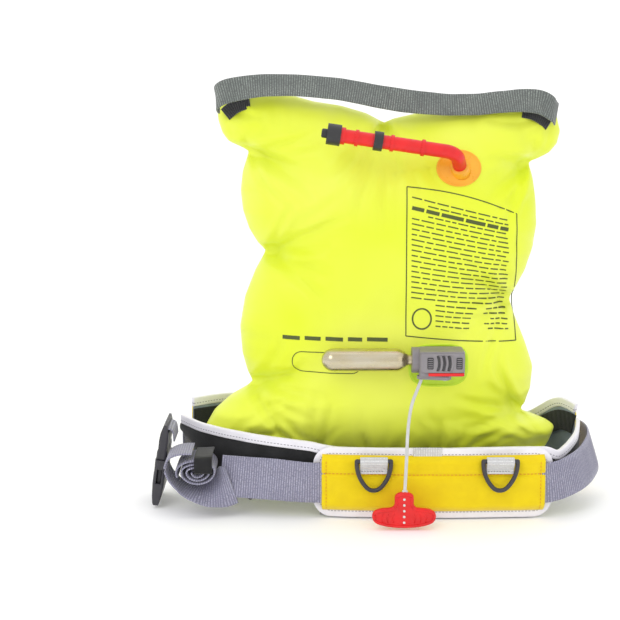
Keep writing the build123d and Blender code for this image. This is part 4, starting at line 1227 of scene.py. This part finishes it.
# Two ends of strap at the buckle, as (x, z).
UPPER_LOOP = [(-199.2, 46.5), (-198.2, 50.5), (-195, 55.8), (-188.5, 59), (-181, 60.3), (-174, 60.3)]
belt_run("webbing_upper_loop", [(x, ROLL_MID_Y, z) for x, z in UPPER_LOOP], ACROSS_Y,
         ("webbing_upper_wrap",))
BELT_END = [(-203.3, 73.2), (-198.5, 74.0), (-195.2, 72.4), (-194.0, 68.0), (-193.6, 62.2)]
ribbon("belt_end_strap", [(x, -14, z) for x, z in BELT_END], ACROSS_Y, 36.0, 1.5, BELT_WEB,
       ("belt_end_upper",), "plug_unit", rib=0.3, step=0.5)


# ---- Inflator cover ----
COVER_Y = -76.05
COVER_MID_Z = 147.6


def inflator_cover():
    """The cover's plate with three curved slots and ribs, and a ridged pad on either side. The slots are
    dark bars, painted shade for their openings.
    """
    rounded_shape("inflator_cover_plate", round_rect(53.5, COVER_MID_Z, 40, 18, 3.2),
                  (COVER_Y - 2.2, COVER_Y), GREY, ("inflator_cover",), 1.2)
    for bar in range(3):
        # slot: a dark grey bar, painted shade for the shadowed opening; rib: a grey bar between them.
        for kind, shift, y, radius, look in (("slot", 0.0, COVER_Y - 1.95, 1.15, DARK_GREY_AND_SLOT_SHADE),
                                             ("rib", 2.5, COVER_Y - 2.3, 1.0, GREY)):
            bow = [(49.0 + 4.9 * bar + shift + 1.3 * math.sin(math.pi * k / 14), y, 140.6 + k)
                   for k in range(15)]
            tube(f"inflator_{kind}_{bar}", bow, radius, look, sides=10)
    for k, x in enumerate((42.5, 68.5)):
        rounded_shape(f"inflator_pad_{k}", round_rect(x, COVER_MID_Z, 5.4, 10.6, 0.9, 4),
                      (COVER_Y - 2.9, COVER_Y - 2.0), DARK_GREY_AND_SLOT_SHADE, round_mm=0.3)
        for q in range(5):
            ends = [(x + side * 2.1, COVER_Y - 2.95, 143.8 + 1.9 * q) for side in (-1, 1)]
            tube(f"inflator_pad_{k}_ridge_{q}", ends, 0.34, GREY, sides=8)


inflator_cover()


# ---- Studio ----
def make_stage():
    """A white floor that curves up into a wall behind the object."""
    floor_z, bend = -0.0012, 0.9
    profile = [(-2.2, floor_z)]
    for a in [math.pi / 2 * k / 24 for k in range(25)]:
        profile.append((1.0 + bend * math.sin(a), floor_z + bend * (1 - math.cos(a))))
    profile.append((1.9, 3.0))
    verts = [(x, y, z) for y, z in profile for x in (-3.4, 3.4)]
    faces = [(a, a + 1, a + 3, a + 2) for a in range(0, len(verts) - 2, 2)]
    white = Shader("studio_white", (0.93, 0.93, 0.93), 0.9, specular=0.1)
    white.glow((1, 1, 1), 0.10)
    mesh_object("studio_sweep", verts, faces, white.mat)


def area_light(name, place, size, power):
    """A square lamp that faces the object's middle."""
    data = bpy.data.lights.new(name, "AREA")
    data.shape = "RECTANGLE"
    data.size, data.size_y = size, size
    data.energy = power
    lamp = new_object(name, data)
    lamp.location = place
    lamp.rotation_euler = (Vector(place) - Vector((0, 0, 0.2))).to_track_quat("Z", "Y").to_euler()


make_stage()
area_light("key", (-1.1, -1.7, 1.7), 1.2, 9)
area_light("fill", (1.5, -1.5, 1.0), 1.6, 2)
area_light("top", (0.0, 0.1, 2.0), 1.8, 3)
area_light("rim", (0.9, 1.3, 1.3), 1.2, 2)
world = bpy.data.worlds.new("studio_world")
world.use_nodes = True
world.node_tree.nodes["Background"].inputs["Color"].default_value = (1, 1, 1, 1)
world.node_tree.nodes["Background"].inputs["Strength"].default_value = 1.0
bpy.context.scene.world = world
bpy.context.scene.view_settings.view_transform = "Standard"
